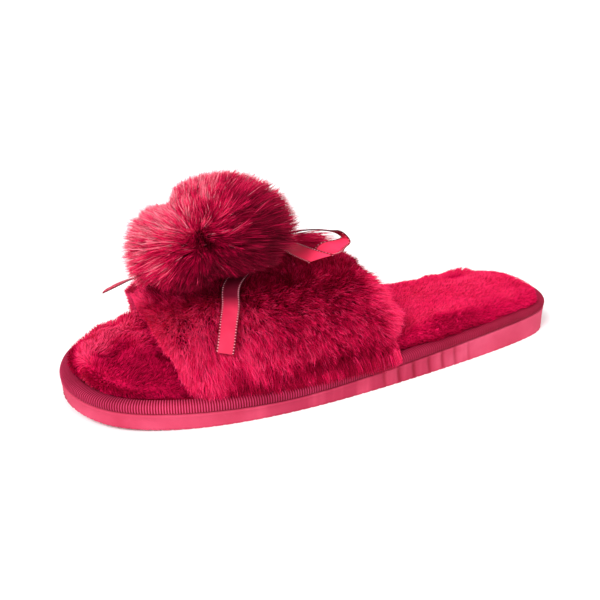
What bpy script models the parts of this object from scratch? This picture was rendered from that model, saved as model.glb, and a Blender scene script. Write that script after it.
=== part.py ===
# Fuzzy slipper for a left foot, open at the toe and at the heel.
# The toe points along +X, the outer (lateral) side of the foot along +Y, and the floor is Z = 0.
# Sizes are in millimetres and become metres where a mesh is made.

import math
import random
from collections import namedtuple
from functools import lru_cache

import bmesh
import bpy
import numpy as np
from mathutils import Matrix, Vector, noise
from mathutils.bvhtree import BVHTree

for old in list(bpy.data.objects):
    bpy.data.objects.remove(old, do_unlink=True)

MM = 0.001
UP = np.array((0.0, 0.0, 1.0))

# Driving dimensions of the shoe
SOLE_LENGTH = 260.0
BALL_WIDTH = 94.0
HEEL_HEIGHT = 12.6
FOREFOOT_HEIGHT = 6.7
TOE_SPRING = 3.6
GAP = 0.3
SHARP_ANGLE = 35.0

# Outsole: where its toe spring begins, as a share of the length from the heel
SPRING_START = 0.78
SPRING_POWER = 2.0
STATIONS = 36

# Tape that binds the footbed's edge
BINDING_WIDTH = 8.0
BINDING_RISE = 4.8

# Cloth of the upper and the fur on it
CLOTH_WALL = 2.6
FUR_TIP = 8.0
FUR_ROOT = 2.4
FUR_NAP = 2.6
FUR_OVERHANG = 3.0
FUR_CLEAR = 1.4
FUR_FADE = 4.0
LOCK_SPREAD = 0.30
SECTION_FULLNESS = 0.80
SECTION_BULGE = 4.0
BAND_STEPS = 22
GIRTH_STEPS = 44
SECTION_SAMPLES = 180
SLOPE_STEP = 0.02
FUR_SEED = 4

# Plush insole
INSOLE_ROOM = 0.66
INSOLE_INSET = BINDING_WIDTH + CLOTH_WALL + INSOLE_ROOM
PLUSH_WAVE = 1.3
PLUSH_WAVE_LENGTH = 24.0
PLUSH_CLEAR = 4.0
PLUSH_FADE = 14.0
SPINE_BACK = 36.0
SPINE_FRONT = 44.0

# Ribbon and its knot
RIBBON_WIDTH = 8.8
RIBBON_THICKNESS = 0.8
RIBBON_SEAT = 0.5
RIBBON_STEPS = 5
PATH_STEP = 0.01
KNOT_SIZE = (13.0, 11.0, 4.4)
KNOT_ROUND = 1.0
KNOT_BAND = 0.47
KNOT_GIRTH = 0.48

# Pompom
POMPOM_CENTRE = (58.0, -2.0, 72.0)
POMPOM_CUTS = 8
POMPOM_ROOT = 0.80
POMPOM_JITTER = 0.07
POMPOM_BLEND = 9.0
POMPOM_SLANT = 0.35
POMPOM_SEED = 9
POMPOM_CLEAR = RIBBON_SEAT + KNOT_SIZE[2] + GAP

# Edge of the sole: share of the length, then the reach to each side as a share of the ball width
Edge = namedtuple("Edge", "along lateral medial")
SOLE_EDGE = (
    Edge(0.000, 0.010, -0.010),
    Edge(0.025, 0.212, 0.226),
    Edge(0.090, 0.305, 0.314),
    Edge(0.220, 0.384, 0.372),
    Edge(0.400, 0.459, 0.382),
    Edge(0.580, 0.508, 0.450),
    Edge(0.740, 0.498, 0.505),
    Edge(0.870, 0.418, 0.478),
    Edge(0.955, 0.280, 0.392),
    Edge(0.988, 0.132, 0.225),
    Edge(1.000, -0.045, 0.045),
)

# Thickness of the outsole along its length
Slab = namedtuple("Slab", "along thickness")
OUTSOLE_SLAB = (
    Slab(0.00, HEEL_HEIGHT),
    Slab(0.15, 11.9),
    Slab(0.33, 10.1),
    Slab(0.51, 7.9),
    Slab(0.66, FOREFOOT_HEIGHT),
    Slab(0.85, 7.7),
    Slab(1.00, 7.0),
)

# Side of the outsole, from the tread to the seam: share of the thickness, plus a lift
Wall = namedtuple("Wall", "inset share lift")
OUTSOLE_WALL = (
    Wall(2.0, 0.0, 0.0),
    Wall(1.1, 0.0, 0.3),
    Wall(0.7, 0.0, 1.2),
    Wall(0.6, 0.5, 0.0),
    Wall(0.2, 1.0, -0.9),
    Wall(1.2, 1.0, 0.0),
)

# Section of the binding: inset from the sole's edge and rise above the seam
Profile = namedtuple("Profile", "inset rise")
BINDING_SECTION = (
    Profile(0.9, GAP),
    Profile(0.1, 1.2),
    Profile(0.0, 2.6),
    Profile(0.8, 4.0),
    Profile(2.8, BINDING_RISE),
    Profile(5.4, BINDING_RISE),
    Profile(7.3, 3.8),
    Profile(BINDING_WIDTH, 1.8),
    Profile(BINDING_WIDTH, GAP),
)

# Crown of the insole: share of the way in to its spine, rise above the seam, share of the plush's
# waves, how far the plush spills over the binding where it is free, and how far the upper tucks it in
Crown = namedtuple("Crown", "inward rise wave spill tuck")
INSOLE_CROWN = (
    Crown(0.00, GAP, 0.0, 0.0, 0.0),
    Crown(0.00, 5.2, 0.0, 0.0, 0.8),
    Crown(0.00, 8.6, 0.2, 3.2, 1.8),
    Crown(0.05, 12.0, 0.7, 3.4, 2.2),
    Crown(0.20, 13.4, 1.0, 1.5, 1.0),
    Crown(0.45, 12.6, 1.0, 0.0, 0.0),
    Crown(0.75, 12.0, 1.0, 0.0, 0.0),
)

# Swell of the plush along the foot, added to its rise
Swell = namedtuple("Swell", "along lift")
PLUSH_SWELL = (
    Swell(0.00, -4.5),
    Swell(0.10, -2.0),
    Swell(0.20, -0.2),
    Swell(0.40, -1.8),
    Swell(0.62, -2.0),
    Swell(0.82, 1.2),
    Swell(0.95, 0.4),
    Swell(1.00, -1.0),
)

# Sections of the upper from its heel hem (band 0) to its toe hem (band 1)
Section = namedtuple("Section", "band lateral_x apex_x medial_x height ridge")
UPPER_SECTIONS = (
    Section(0.00, -22.0, -11.0, -19.0, 47.0, -4.0),
    Section(0.35, 13.0, 24.0, 16.0, 48.0, -4.0),
    Section(0.70, 47.0, 60.0, 51.0, 46.5, -3.0),
    Section(1.00, 77.0, 90.0, 81.0, 42.0, -2.0),
)

# Ribbon paths over the fur: place on the band and on the girth, lift above the fur, turn about the path
Fold = namedtuple("Fold", "band girth lift turn")
HEEL_LOOP = (
    Fold(0.50, 0.48, 2.2, 0.0),
    Fold(0.32, 0.46, 2.0, 8.0),
    Fold(0.18, 0.44, 2.8, 12.0),
    Fold(0.07, 0.435, 5.6, 12.0),
    Fold(0.03, 0.435, 9.4, 12.0),
    Fold(0.07, 0.435, 12.8, 12.0),
    Fold(0.17, 0.45, 11.6, 6.0),
    Fold(0.27, 0.46, 6.6, 2.0),
    Fold(0.37, 0.47, 3.9, 0.0),
    Fold(0.49, 0.48, 3.6, 0.0),
)
MEDIAL_LOOP = (
    Fold(0.46, 0.47, 2.5, 0.0),
    Fold(0.52, 0.58, 2.3, 0.0),
    Fold(0.57, 0.67, 2.2, 0.0),
    Fold(0.60, 0.745, 2.6, 0.0),
    Fold(0.61, 0.783, 4.2, 0.0),
    Fold(0.61, 0.785, 6.9, 0.0),
    Fold(0.60, 0.755, 7.6, 0.0),
    Fold(0.58, 0.695, 3.7, 0.0),
    Fold(0.52, 0.58, 3.4, 0.0),
    Fold(0.46, 0.47, 3.7, 0.0),
)
NEAR_TAIL = (
    Fold(0.45, 0.49, 1.0, 0.0),
    Fold(0.58, 0.40, 0.9, 0.0),
    Fold(0.69, 0.32, 1.2, 6.0),
    Fold(0.77, 0.25, 1.8, 14.0),
    Fold(0.80, 0.19, 2.6, 20.0),
)
FAR_TAIL = (
    Fold(0.44, 0.48, 1.6, 0.0),
    Fold(0.66, 0.53, 0.9, 0.0),
    Fold(0.86, 0.57, 0.9, 0.0),
    Fold(1.03, 0.60, 0.9, 0.0),
    Fold(1.14, 0.62, -2.5, 0.0),
)

# Lobes of the pompom: centre and full size of each egg
Lobe = namedtuple("Lobe", "x y z length width height")
POMPOM_LOBES = (
    Lobe(46.0, -2.0, 74.0, 62.0, 70.0, 54.0),
    Lobe(75.0, -2.0, 68.0, 45.0, 62.0, 42.0),
)

# Finish of each piece: linear colour and roughness
Finish = namedtuple("Finish", "colour roughness")
FINISHES = {
    "outsole": Finish((0.70, 0.055, 0.125), 0.70),
    "insole": Finish((0.72, 0.020, 0.110), 0.95),
    "edge_binding": Finish((0.42, 0.016, 0.070), 0.75),
    "upper": Finish((0.50, 0.008, 0.055), 0.95),
    "ribbon_bow": Finish((0.74, 0.045, 0.100), 0.35),
    "pompom": Finish((0.53, 0.010, 0.060), 0.95),
}


def natural_spline(knots, values):
    """Cubic curve through the values, with no bend at its ends and straight beyond them."""
    knots = np.asarray(knots, float)
    values = np.asarray(values, float)
    steps = np.diff(knots)
    slopes = np.diff(values) / steps
    system = np.eye(len(knots))
    right = np.zeros(len(knots))
    for i in range(1, len(knots) - 1):
        system[i, i - 1:i + 2] = steps[i - 1], 2.0 * (steps[i - 1] + steps[i]), steps[i]
        right[i] = 6.0 * (slopes[i] - slopes[i - 1])
    bend = np.linalg.solve(system, right)
    first_slope = slopes[0] - steps[0] * bend[1] / 6.0
    last_slope = slopes[-1] + steps[-1] * bend[-2] / 6.0

    def evaluate(place):
        if place <= knots[0]:
            return values[0] + first_slope * (place - knots[0])
        if place >= knots[-1]:
            return values[-1] + last_slope * (place - knots[-1])
        i = int(np.searchsorted(knots, place)) - 1
        before = place - knots[i]
        after = knots[i + 1] - place
        line = (values[i] / steps[i] - bend[i] * steps[i] / 6.0) * after
        line += (values[i + 1] / steps[i] - bend[i + 1] * steps[i] / 6.0) * before
        return line + (bend[i] * after ** 3 + bend[i + 1] * before ** 3) / (6.0 * steps[i])

    return evaluate


def ease(share):
    """Smooth step from 0 to 1."""
    share = min(max(share, 0.0), 1.0)
    return share * share * (3.0 - 2.0 * share)


def unit(vector):
    return vector / np.linalg.norm(vector)


# The sole's outline and side profile


def along_of(x):
    return min(max(x / SOLE_LENGTH + 0.5, 0.0), 1.0)


def ground_height(x):
    """Underside of the outsole: flat from the heel to the ball, then the toe spring."""
    reach = max(0.0, (along_of(x) - SPRING_START) / (1.0 - SPRING_START))
    return TOE_SPRING * reach ** SPRING_POWER


SLAB_THICKNESS = natural_spline([row.along for row in OUTSOLE_SLAB],
                                [row.thickness for row in OUTSOLE_SLAB])


def sole_thickness(x):
    return SLAB_THICKNESS(along_of(x))


def seam_height(x):
    """Top of the outsole, where binding, insole and upper start."""
    return ground_height(x) + sole_thickness(x)


def sole_rim():
    """Outline of the sole: heel tip, lateral side, toe tip, medial side."""
    angles = [math.acos(1.0 - 2.0 * row.along) for row in SOLE_EDGE]
    lateral = natural_spline(angles, [row.lateral for row in SOLE_EDGE])
    medial = natural_spline(angles, [row.medial for row in SOLE_EDGE])
    turns = [math.pi * k / STATIONS for k in range(STATIONS + 1)]
    xs = [-0.5 * SOLE_LENGTH * math.cos(turn) for turn in turns]
    near = [(x, BALL_WIDTH * lateral(turn)) for x, turn in zip(xs, turns)]
    far = [(x, -BALL_WIDTH * medial(turn)) for x, turn in zip(xs, turns)]
    return np.array(near + far[-2:0:-1])


RIM = sole_rim()
RIM_TANGENT = np.roll(RIM, -1, axis=0) - np.roll(RIM, 1, axis=0)
RIM_INWARD = np.column_stack((RIM_TANGENT[:, 1], -RIM_TANGENT[:, 0]))
RIM_INWARD /= np.linalg.norm(RIM_INWARD, axis=1)[:, None]


@lru_cache(maxsize=None)
def inset_rim(inset):
    return RIM + RIM_INWARD * inset


def edge_y(x, inset, lateral):
    """Y of the outline, moved in by the inset, on one side of the foot."""
    ring = inset_rim(inset)
    side = ring[:STATIONS + 1] if lateral else np.vstack((ring[STATIONS:], ring[:1]))[::-1]
    return float(np.interp(x, side[:, 0], side[:, 1]))


def ring_points(inset, height_at):
    ring = inset_rim(inset)
    return [(x, y, height_at(station)) for (x, y), station in zip(ring, RIM[:, 0])]


# Meshes and materials


def finish_material(name):
    finish = FINISHES[name]
    material = bpy.data.materials.new(name)
    material.use_nodes = True
    shader = material.node_tree.nodes["Principled BSDF"]
    shader.inputs["Base Color"].default_value = (*finish.colour, 1.0)
    shader.inputs["Roughness"].default_value = finish.roughness
    shader.inputs["Metallic"].default_value = 0.0
    return material


def add_object(name, bm, material=None):
    """Turns a closed bmesh in millimetres into an object in metres, faces out and shaded smooth."""
    bmesh.ops.recalc_face_normals(bm, faces=bm.faces[:])
    bmesh.ops.scale(bm, vec=(MM, MM, MM), verts=bm.verts[:])
    mesh = bpy.data.meshes.new(name)
    bm.to_mesh(mesh)
    bm.free()
    mesh.shade_smooth()
    mesh.set_sharp_from_angle(angle=math.radians(SHARP_ANGLE))
    piece = bpy.data.objects.new(name, mesh)
    bpy.context.collection.objects.link(piece)
    if material:
        mesh.materials.append(material)
    return piece


def join_rings(bm, lower, upper):
    count = len(lower)
    for i in range(count):
        j = (i + 1) % count
        bm.faces.new((lower[i], lower[j], upper[j], upper[i]))


def cap_ring(bm, ring):
    """Closes a ring of sole stations with strips that run across the foot."""
    count = len(ring)
    for i in range(STATIONS):
        corners = (ring[i], ring[i + 1], ring[count - i - 1], ring[(count - i) % count])
        bm.faces.new(list(dict.fromkeys(corners)))


def stack_of_rings(rings):
    bm = bmesh.new()
    loops = [[bm.verts.new(point) for point in ring] for ring in rings]
    for lower, upper in zip(loops, loops[1:]):
        join_rings(bm, lower, upper)
    return bm, loops


# Outsole


def make_outsole():
    rings = []
    for wall in OUTSOLE_WALL:
        rings.append(ring_points(
            wall.inset, lambda x, w=wall: ground_height(x) + w.share * sole_thickness(x) + w.lift))
    bm, loops = stack_of_rings(rings)
    cap_ring(bm, loops[0])
    cap_ring(bm, loops[-1])
    return add_object("outsole", bm, finish_material("outsole"))


# Edge binding


def make_edge_binding():
    rings = []
    for point in BINDING_SECTION:
        rings.append(ring_points(point.inset, lambda x, p=point: seam_height(x) + p.rise))
    bm, loops = stack_of_rings(rings)
    join_rings(bm, loops[-1], loops[0])
    return add_object("edge_binding", bm, finish_material("edge_binding"))


# Insole


def open_share(x):
    """None under the upper, all of it clear of its two hems."""
    behind = UPPER_SECTIONS[0].lateral_x - PLUSH_CLEAR - x
    ahead = x - UPPER_SECTIONS[-1].apex_x - PLUSH_CLEAR
    return ease(max(behind, ahead) / PLUSH_FADE)


def make_insole():
    half = 0.5 * SOLE_LENGTH
    plush_lift = natural_spline([row.along for row in PLUSH_SWELL], [row.lift for row in PLUSH_SWELL])
    edge = inset_rim(INSOLE_INSET)
    spine = []
    for x, _ in edge:
        spine_x = min(max(x, SPINE_BACK - half), half - SPINE_FRONT)
        middle = 0.5 * (edge_y(spine_x, INSOLE_INSET, True) + edge_y(spine_x, INSOLE_INSET, False))
        spine.append((spine_x, middle))
    rings = []
    for crown in INSOLE_CROWN:
        ring = edge + (np.array(spine) - edge) * crown.inward
        free = np.array([open_share(x) for x in RIM[:, 0]])
        ring -= RIM_INWARD * (crown.spill * free - crown.tuck * (1.0 - free))[:, None]
        heights = []
        for x, y in ring:
            wave = PLUSH_WAVE * noise.noise(Vector((x, y, 0.0)) / PLUSH_WAVE_LENGTH)
            swell = crown.wave * (wave + plush_lift(along_of(x)))
            heights.append(seam_height(x) + crown.rise + swell)
        rings.append([(x, y, z) for (x, y), z in zip(ring, heights)])
    bm, loops = stack_of_rings(rings)
    cap_ring(bm, loops[0])
    cap_ring(bm, loops[-1])
    return add_object("insole", bm, finish_material("insole"))


# Upper: the cloth's own function, then the solid with its locks of fur


def section_spline(column):
    return natural_spline([row.band for row in UPPER_SECTIONS],
                          [getattr(row, column) for row in UPPER_SECTIONS])


SECTION = {column: section_spline(column) for column in Section._fields[1:]}


@lru_cache(maxsize=None)
def cloth_section(band):
    """Outer face of the cloth across the foot, evenly spaced from the lateral to the medial foot."""
    points = []
    apex_x = SECTION["apex_x"](band)
    apex_z = SECTION["height"](band)
    ridge = SECTION["ridge"](band)
    for k in range(SECTION_SAMPLES + 1):
        turn = math.pi * k / SECTION_SAMPLES
        lateral = 2 * k <= SECTION_SAMPLES
        rise = math.sin(turn)
        foot_x = SECTION["lateral_x" if lateral else "medial_x"](band)
        foot_y = edge_y(foot_x, BINDING_WIDTH + GAP, lateral)
        foot_z = seam_height(foot_x) + GAP
        side = 1.0 if lateral else -1.0
        x = foot_x + (apex_x - foot_x) * rise
        y = foot_y * abs(math.cos(turn)) ** SECTION_FULLNESS + ridge * rise
        y += side * SECTION_BULGE * abs(math.sin(2.0 * turn)) * rise
        z = foot_z + (apex_z - foot_z) * rise ** SECTION_FULLNESS
        points.append((x, y, z))
    points = np.array(points)
    run = np.concatenate(([0.0], np.cumsum(np.linalg.norm(np.diff(points, axis=0), axis=1))))
    return points, run / run[-1]


def cloth_row(band, girths):
    points, share = cloth_section(band)
    return np.column_stack([np.interp(girths, share, points[:, axis]) for axis in range(3)])


def cloth_frame(band, girth):
    """Point of the cloth with its outward normal, its way toward the toe and its way across."""
    low = max(girth - SLOPE_STEP, 0.0)
    high = min(girth + SLOPE_STEP, 1.0)
    row = cloth_row(band, [low, girth, high])
    ahead = cloth_row(band + SLOPE_STEP, [girth])[0]
    behind = cloth_row(band - SLOPE_STEP, [girth])[0]
    toeward = unit(ahead - behind)
    across = unit(row[2] - row[0])
    return row[1], unit(np.cross(across, toeward)), toeward, across


def fur_cover(point):
    """Share of the full fur at a point of the cloth: none beside the binding, all of it above."""
    bare = seam_height(point[0]) + BINDING_RISE + FUR_CLEAR
    return ease((point[2] - bare) / FUR_FADE)


def fur_vertex(band_index, girth_index, frame, dice):
    """Root or tip of a lock: every second point stands out and lies down along the nap."""
    point, normal, toeward, across = frame
    cover = fur_cover(point)
    tip = (band_index + girth_index) % 2 == 1
    length = FUR_ROOT
    nap = np.zeros(3)
    if tip:
        length = FUR_TIP * (1.0 - LOCK_SPREAD * dice.random())
        downward = across if girth_index > GIRTH_STEPS / 2 else -across
        nap = FUR_NAP * downward
    hem = {0: -1.0, BAND_STEPS: 1.0}.get(band_index, 0.0)
    return point + cover * (length * normal + nap + hem * FUR_OVERHANG * toeward)


def make_upper():
    dice = random.Random(FUR_SEED)
    bm = bmesh.new()
    outer = []
    inner = []
    for i in range(BAND_STEPS + 1):
        fur_row = []
        lining_row = []
        for j in range(GIRTH_STEPS + 1):
            frame = cloth_frame(i / BAND_STEPS, j / GIRTH_STEPS)
            point, normal = frame[:2]
            at_foot = j in (0, GIRTH_STEPS)
            if at_foot:
                normal = unit(normal - normal[2] * UP)
            fur_row.append(bm.verts.new(point if at_foot else fur_vertex(i, j, frame, dice)))
            lining_row.append(bm.verts.new(point - CLOTH_WALL * normal))
        outer.append(fur_row)
        inner.append(lining_row)
    for sheet in (outer, inner):
        for i in range(BAND_STEPS):
            for j in range(GIRTH_STEPS):
                bm.faces.new((sheet[i][j], sheet[i + 1][j], sheet[i + 1][j + 1], sheet[i][j + 1]))
    for i in (0, BAND_STEPS):
        for j in range(GIRTH_STEPS):
            bm.faces.new((outer[i][j], outer[i][j + 1], inner[i][j + 1], inner[i][j]))
    for j in (0, GIRTH_STEPS):
        for i in range(BAND_STEPS):
            bm.faces.new((outer[i][j], outer[i + 1][j], inner[i + 1][j], inner[i][j]))
    return add_object("upper", bm, finish_material("upper"))


def fur_envelope():
    """Surface through the tips of the locks, for what lies on the fur."""
    points = []
    for i in range(BAND_STEPS + 1):
        for j in range(GIRTH_STEPS + 1):
            point, normal = cloth_frame(i / BAND_STEPS, j / GIRTH_STEPS)[:2]
            points.append(Vector(point + FUR_TIP * normal))
    width = GIRTH_STEPS + 1
    faces = []
    for i in range(BAND_STEPS):
        for j in range(GIRTH_STEPS):
            corner = i * width + j
            faces.append((corner, corner + width, corner + width + 1, corner + 1))
    return BVHTree.FromPolygons(points, faces)


# Ribbon bow


def ribbon_frames(folds):
    """Points along a ribbon with the way of its width and its face, smooth through the folds."""
    frames = [cloth_frame(fold.band, fold.girth) for fold in folds]
    centres = [frame[0] + (FUR_TIP + fold.lift) * frame[1] for frame, fold in zip(frames, folds)]
    lengthwise = abs(folds[len(folds) // 2].band - folds[0].band)
    crosswise = abs(folds[len(folds) // 2].girth - folds[0].girth)
    ways = [frame[3] if lengthwise > crosswise else frame[2] for frame in frames]
    knots = range(len(folds))
    paths = [natural_spline(knots, [centre[axis] for centre in centres]) for axis in range(3)]
    guides = [natural_spline(knots, [way[axis] for way in ways]) for axis in range(3)]
    turns = natural_spline(knots, [fold.turn for fold in folds])
    result = []
    for k in range(RIBBON_STEPS * (len(folds) - 1) + 1):
        place = k / RIBBON_STEPS
        here = np.array([path(place) for path in paths])
        ahead = np.array([path(place + PATH_STEP) for path in paths])
        tangent = unit(ahead - here)
        guide = np.array([way(place) for way in guides])
        width = unit(guide - guide.dot(tangent) * tangent)
        spin = Matrix.Rotation(math.radians(turns(place)), 3, Vector(tangent))
        width = np.array(spin @ Vector(width))
        result.append((here, width, np.cross(tangent, width)))
    return result


def ribbon_strip(name, folds):
    bm = bmesh.new()
    loops = []
    for centre, width, face in ribbon_frames(folds):
        across = 0.5 * RIBBON_WIDTH * width
        through = 0.5 * RIBBON_THICKNESS * face
        corners = (across + through, through - across, -across - through, across - through)
        loops.append([bm.verts.new(centre + corner) for corner in corners])
    for before, after in zip(loops, loops[1:]):
        join_rings(bm, before, after)
    bm.faces.new(loops[0])
    bm.faces.new(loops[-1])
    return add_object(name, bm)


def make_ribbon_bow():
    """Knot with its loops and tails, one ribbon."""
    point, normal, toeward, across = cloth_frame(KNOT_BAND, KNOT_GIRTH)
    centre = point + (FUR_TIP + RIBBON_SEAT + 0.5 * KNOT_SIZE[2]) * normal
    axes = Matrix(np.column_stack((toeward, np.cross(normal, toeward), normal)).tolist()).to_4x4()
    bm = bmesh.new()
    bmesh.ops.create_cube(bm, size=1.0)
    bmesh.ops.scale(bm, vec=KNOT_SIZE, verts=bm.verts[:])
    bmesh.ops.bevel(bm, geom=bm.edges[:], offset=KNOT_ROUND, segments=2, profile=0.5, affect="EDGES")
    bmesh.ops.transform(bm, matrix=Matrix.Translation(Vector(centre)) @ axes, verts=bm.verts[:])
    bow = add_object("ribbon_bow", bm, finish_material("ribbon_bow"))
    strips = {"heel_loop": HEEL_LOOP, "medial_loop": MEDIAL_LOOP,
              "near_tail": NEAR_TAIL, "far_tail": FAR_TAIL}
    for name, folds in strips.items():
        strip = ribbon_strip(name, folds)
        strip.hide_render = True
        strip.display_type = "WIRE"
        union = bow.modifiers.new(name, "BOOLEAN")
        union.operation = "UNION"
        union.use_self = True
        union.object = strip
    return bow


# Pompom


def lobe_reach(direction, lobe):
    """Distance from the pompom's centre, inside the lobe, to the lobe's far side."""
    size = 0.5 * np.array((lobe.length, lobe.width, lobe.height))
    start = (np.array(POMPOM_CENTRE) - (lobe.x, lobe.y, lobe.z)) / size
    way = np.array(direction) / size
    along = start.dot(way)
    across = way.dot(way)
    return (math.sqrt(along * along - across * (start.dot(start) - 1.0)) - along) / across


def pompom_reach(direction, rest):
    """Distance from the pompom's centre to its surface: two lobes, flat where they meet the bow."""
    reaches = np.array([lobe_reach(direction, lobe) for lobe in POMPOM_LOBES])
    reach = np.sum(reaches ** POMPOM_BLEND) ** (1.0 / POMPOM_BLEND)
    hit, _, _, distance = rest.ray_cast(Vector(POMPOM_CENTRE), direction)
    if hit:
        reach = min(reach, distance - POMPOM_CLEAR / max(-direction.z, POMPOM_SLANT))
    return reach


def make_pompom():
    dice = random.Random(POMPOM_SEED)
    rest = fur_envelope()
    bm = bmesh.new()
    bmesh.ops.create_cube(bm, size=2.0)
    bmesh.ops.subdivide_edges(bm, edges=bm.edges[:], cuts=POMPOM_CUTS, use_grid_fill=True)
    for vert in bm.verts:
        vert.co = Vector([math.tan(0.25 * math.pi * part) for part in vert.co]).normalized()
    tips = set(bmesh.ops.poke(bm, faces=bm.faces[:])["verts"])
    for vert in bm.verts:
        direction = vert.co.normalized()
        share = 1.0 - POMPOM_JITTER * dice.random() if vert in tips else POMPOM_ROOT
        vert.co = Vector(POMPOM_CENTRE) + direction * pompom_reach(direction, rest) * share
    return add_object("pompom", bm, finish_material("pompom"))


def main():
    for make_piece in (make_outsole, make_insole, make_edge_binding, make_upper,
                       make_ribbon_bow, make_pompom):
        make_piece()
    corners = np.array([vert.co for piece in bpy.data.objects for vert in piece.data.vertices])
    middle = 0.5 * (corners.min(axis=0) + corners.max(axis=0))
    slipper = bpy.data.objects.new("slipper", None)
    bpy.context.collection.objects.link(slipper)
    slipper.location = (-middle[0], -middle[1], 0.0)
    for piece in bpy.data.objects:
        if piece is not slipper:
            piece.parent = slipper


main()
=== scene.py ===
import math

import bmesh
import bpy
import numpy as np
from mathutils import Matrix, Vector, noise
from mathutils.bvhtree import BVHTree
from mathutils.kdtree import KDTree


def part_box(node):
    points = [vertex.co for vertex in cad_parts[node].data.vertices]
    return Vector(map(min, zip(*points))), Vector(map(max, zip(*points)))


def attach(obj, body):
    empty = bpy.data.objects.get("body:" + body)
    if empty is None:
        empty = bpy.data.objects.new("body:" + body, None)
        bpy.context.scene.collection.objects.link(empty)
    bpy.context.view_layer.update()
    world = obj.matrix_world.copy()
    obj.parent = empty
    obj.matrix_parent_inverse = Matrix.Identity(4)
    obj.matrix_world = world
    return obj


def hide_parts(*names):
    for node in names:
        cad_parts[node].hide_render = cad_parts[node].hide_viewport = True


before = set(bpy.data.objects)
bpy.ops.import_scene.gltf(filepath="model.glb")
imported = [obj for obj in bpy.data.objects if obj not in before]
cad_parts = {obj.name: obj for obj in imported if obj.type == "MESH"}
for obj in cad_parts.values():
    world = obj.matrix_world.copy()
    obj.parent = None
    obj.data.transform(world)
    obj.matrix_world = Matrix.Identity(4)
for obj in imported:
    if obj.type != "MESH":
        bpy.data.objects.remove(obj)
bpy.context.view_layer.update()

scene = bpy.context.scene
mm = 0.001  # shapes below are in millimetres; camera, studio and looks in metres
print("frame loaded:", ", ".join(sorted(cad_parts)))


# Lines of the sole: shares of its length, and reach to each side as shares of the ball width
sole = {
    "length": 260.0,
    "ballWidth": 94.0,
    "toeSpring": 3.6,
    "springStart": 0.78,
    "along": [0.0, 0.025, 0.09, 0.22, 0.40, 0.58, 0.74, 0.87, 0.955, 0.988, 1.0],
    "lateral": [0.010, 0.212, 0.305, 0.384, 0.459, 0.508, 0.498, 0.418, 0.280, 0.132, -0.045],
    "medial": [-0.010, 0.226, 0.314, 0.372, 0.382, 0.450, 0.505, 0.478, 0.392, 0.225, 0.045],
    "slabAlong": [0.0, 0.15, 0.33, 0.51, 0.66, 0.85, 1.0],
    "slabThick": [12.6, 11.9, 10.1, 7.9, 6.7, 7.7, 7.0],
    "outlineSteps": 8000,
    "fineSteps": 2400,
}


def curveThrough(knots, values):
    # cubic through the values, straight beyond its ends
    knots, values = np.asarray(knots, float), np.asarray(values, float)
    steps = np.diff(knots)
    slopes = np.diff(values) / steps
    system, right = np.eye(len(knots)), np.zeros(len(knots))
    for i in range(1, len(knots) - 1):
        system[i, i - 1:i + 2] = steps[i - 1], 2 * (steps[i - 1] + steps[i]), steps[i]
        right[i] = 6 * (slopes[i] - slopes[i - 1])
    bend = np.linalg.solve(system, right)
    first = slopes[0] - steps[0] * bend[1] / 6
    last = slopes[-1] + steps[-1] * bend[-2] / 6

    def at(place):
        place = np.asarray(place, float)
        i = np.clip(np.searchsorted(knots, place) - 1, 0, len(knots) - 2)
        before, after = place - knots[i], knots[i + 1] - place
        inside = (values[i] / steps[i] - bend[i] * steps[i] / 6) * after
        inside += (values[i + 1] / steps[i] - bend[i + 1] * steps[i] / 6) * before
        inside += (bend[i] * after ** 3 + bend[i + 1] * before ** 3) / (6 * steps[i])
        below, above = place - knots[0], place - knots[-1]
        return np.where(below < 0, values[0] + first * below,
                        np.where(above > 0, values[-1] + last * above, inside))

    return at


def ease(share):
    share = np.clip(share, 0, 1)
    return share * share * (3 - 2 * share)


def rising(value, start, over):
    return ease((value - start) / over)


def falling(value, stop, over):
    return ease((stop - value) / over)


def unit(vectors):
    return vectors / np.maximum(np.linalg.norm(vectors, axis=-1, keepdims=True), 1e-9)


stationTurns = np.arccos(1 - 2 * np.array(sole["along"]))
lateralReach = curveThrough(stationTurns, sole["lateral"])
medialReach = curveThrough(stationTurns, sole["medial"])
slabThick = curveThrough(sole["slabAlong"], sole["slabThick"])


def shareAt(x):
    return np.clip(np.asarray(x, float) / sole["length"] + 0.5, 0, 1)


def groundAt(x):
    spring = np.maximum(0, (shareAt(x) - sole["springStart"]) / (1 - sole["springStart"]))
    return sole["toeSpring"] * spring ** 2


def seamAt(x):
    return groundAt(x) + slabThick(shareAt(x))


def outlineOf(count):
    # even steps round the sole from the heel tip, by the lateral side, with the way inwards
    turn = np.linspace(0, 2 * np.pi, sole["outlineSteps"], endpoint=False)
    half = np.where(turn <= np.pi, turn, 2 * np.pi - turn)
    x = -0.5 * sole["length"] * np.cos(half)
    y = sole["ballWidth"] * np.where(turn <= np.pi, lateralReach(half), -medialReach(half))
    loop = np.column_stack((np.append(x, x[0]), np.append(y, y[0])))
    run = np.concatenate(([0], np.cumsum(np.linalg.norm(np.diff(loop, axis=0), axis=1))))
    even = np.linspace(0, run[-1], count, endpoint=False)
    points = np.column_stack([np.interp(even, run, loop[:, axis]) for axis in (0, 1)])
    tangent = np.roll(points, -1, axis=0) - np.roll(points, 1, axis=0)
    return points, unit(np.column_stack((tangent[:, 1], -tangent[:, 0])))


outlineFine, inwardFine = outlineOf(sole["fineSteps"])
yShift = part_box("edge_binding")[1].y / mm - outlineFine[:, 1].max()


def edgeAt(x, inset, lateral):
    ring = outlineFine + inwardFine * inset
    toe = int(np.argmax(ring[:, 0]))
    side = ring[:toe + 1] if lateral else ring[toe:][::-1]
    order = np.argsort(side[:, 0])
    return np.interp(x, side[order, 0], side[order, 1])


# Pieces and materials

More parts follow.
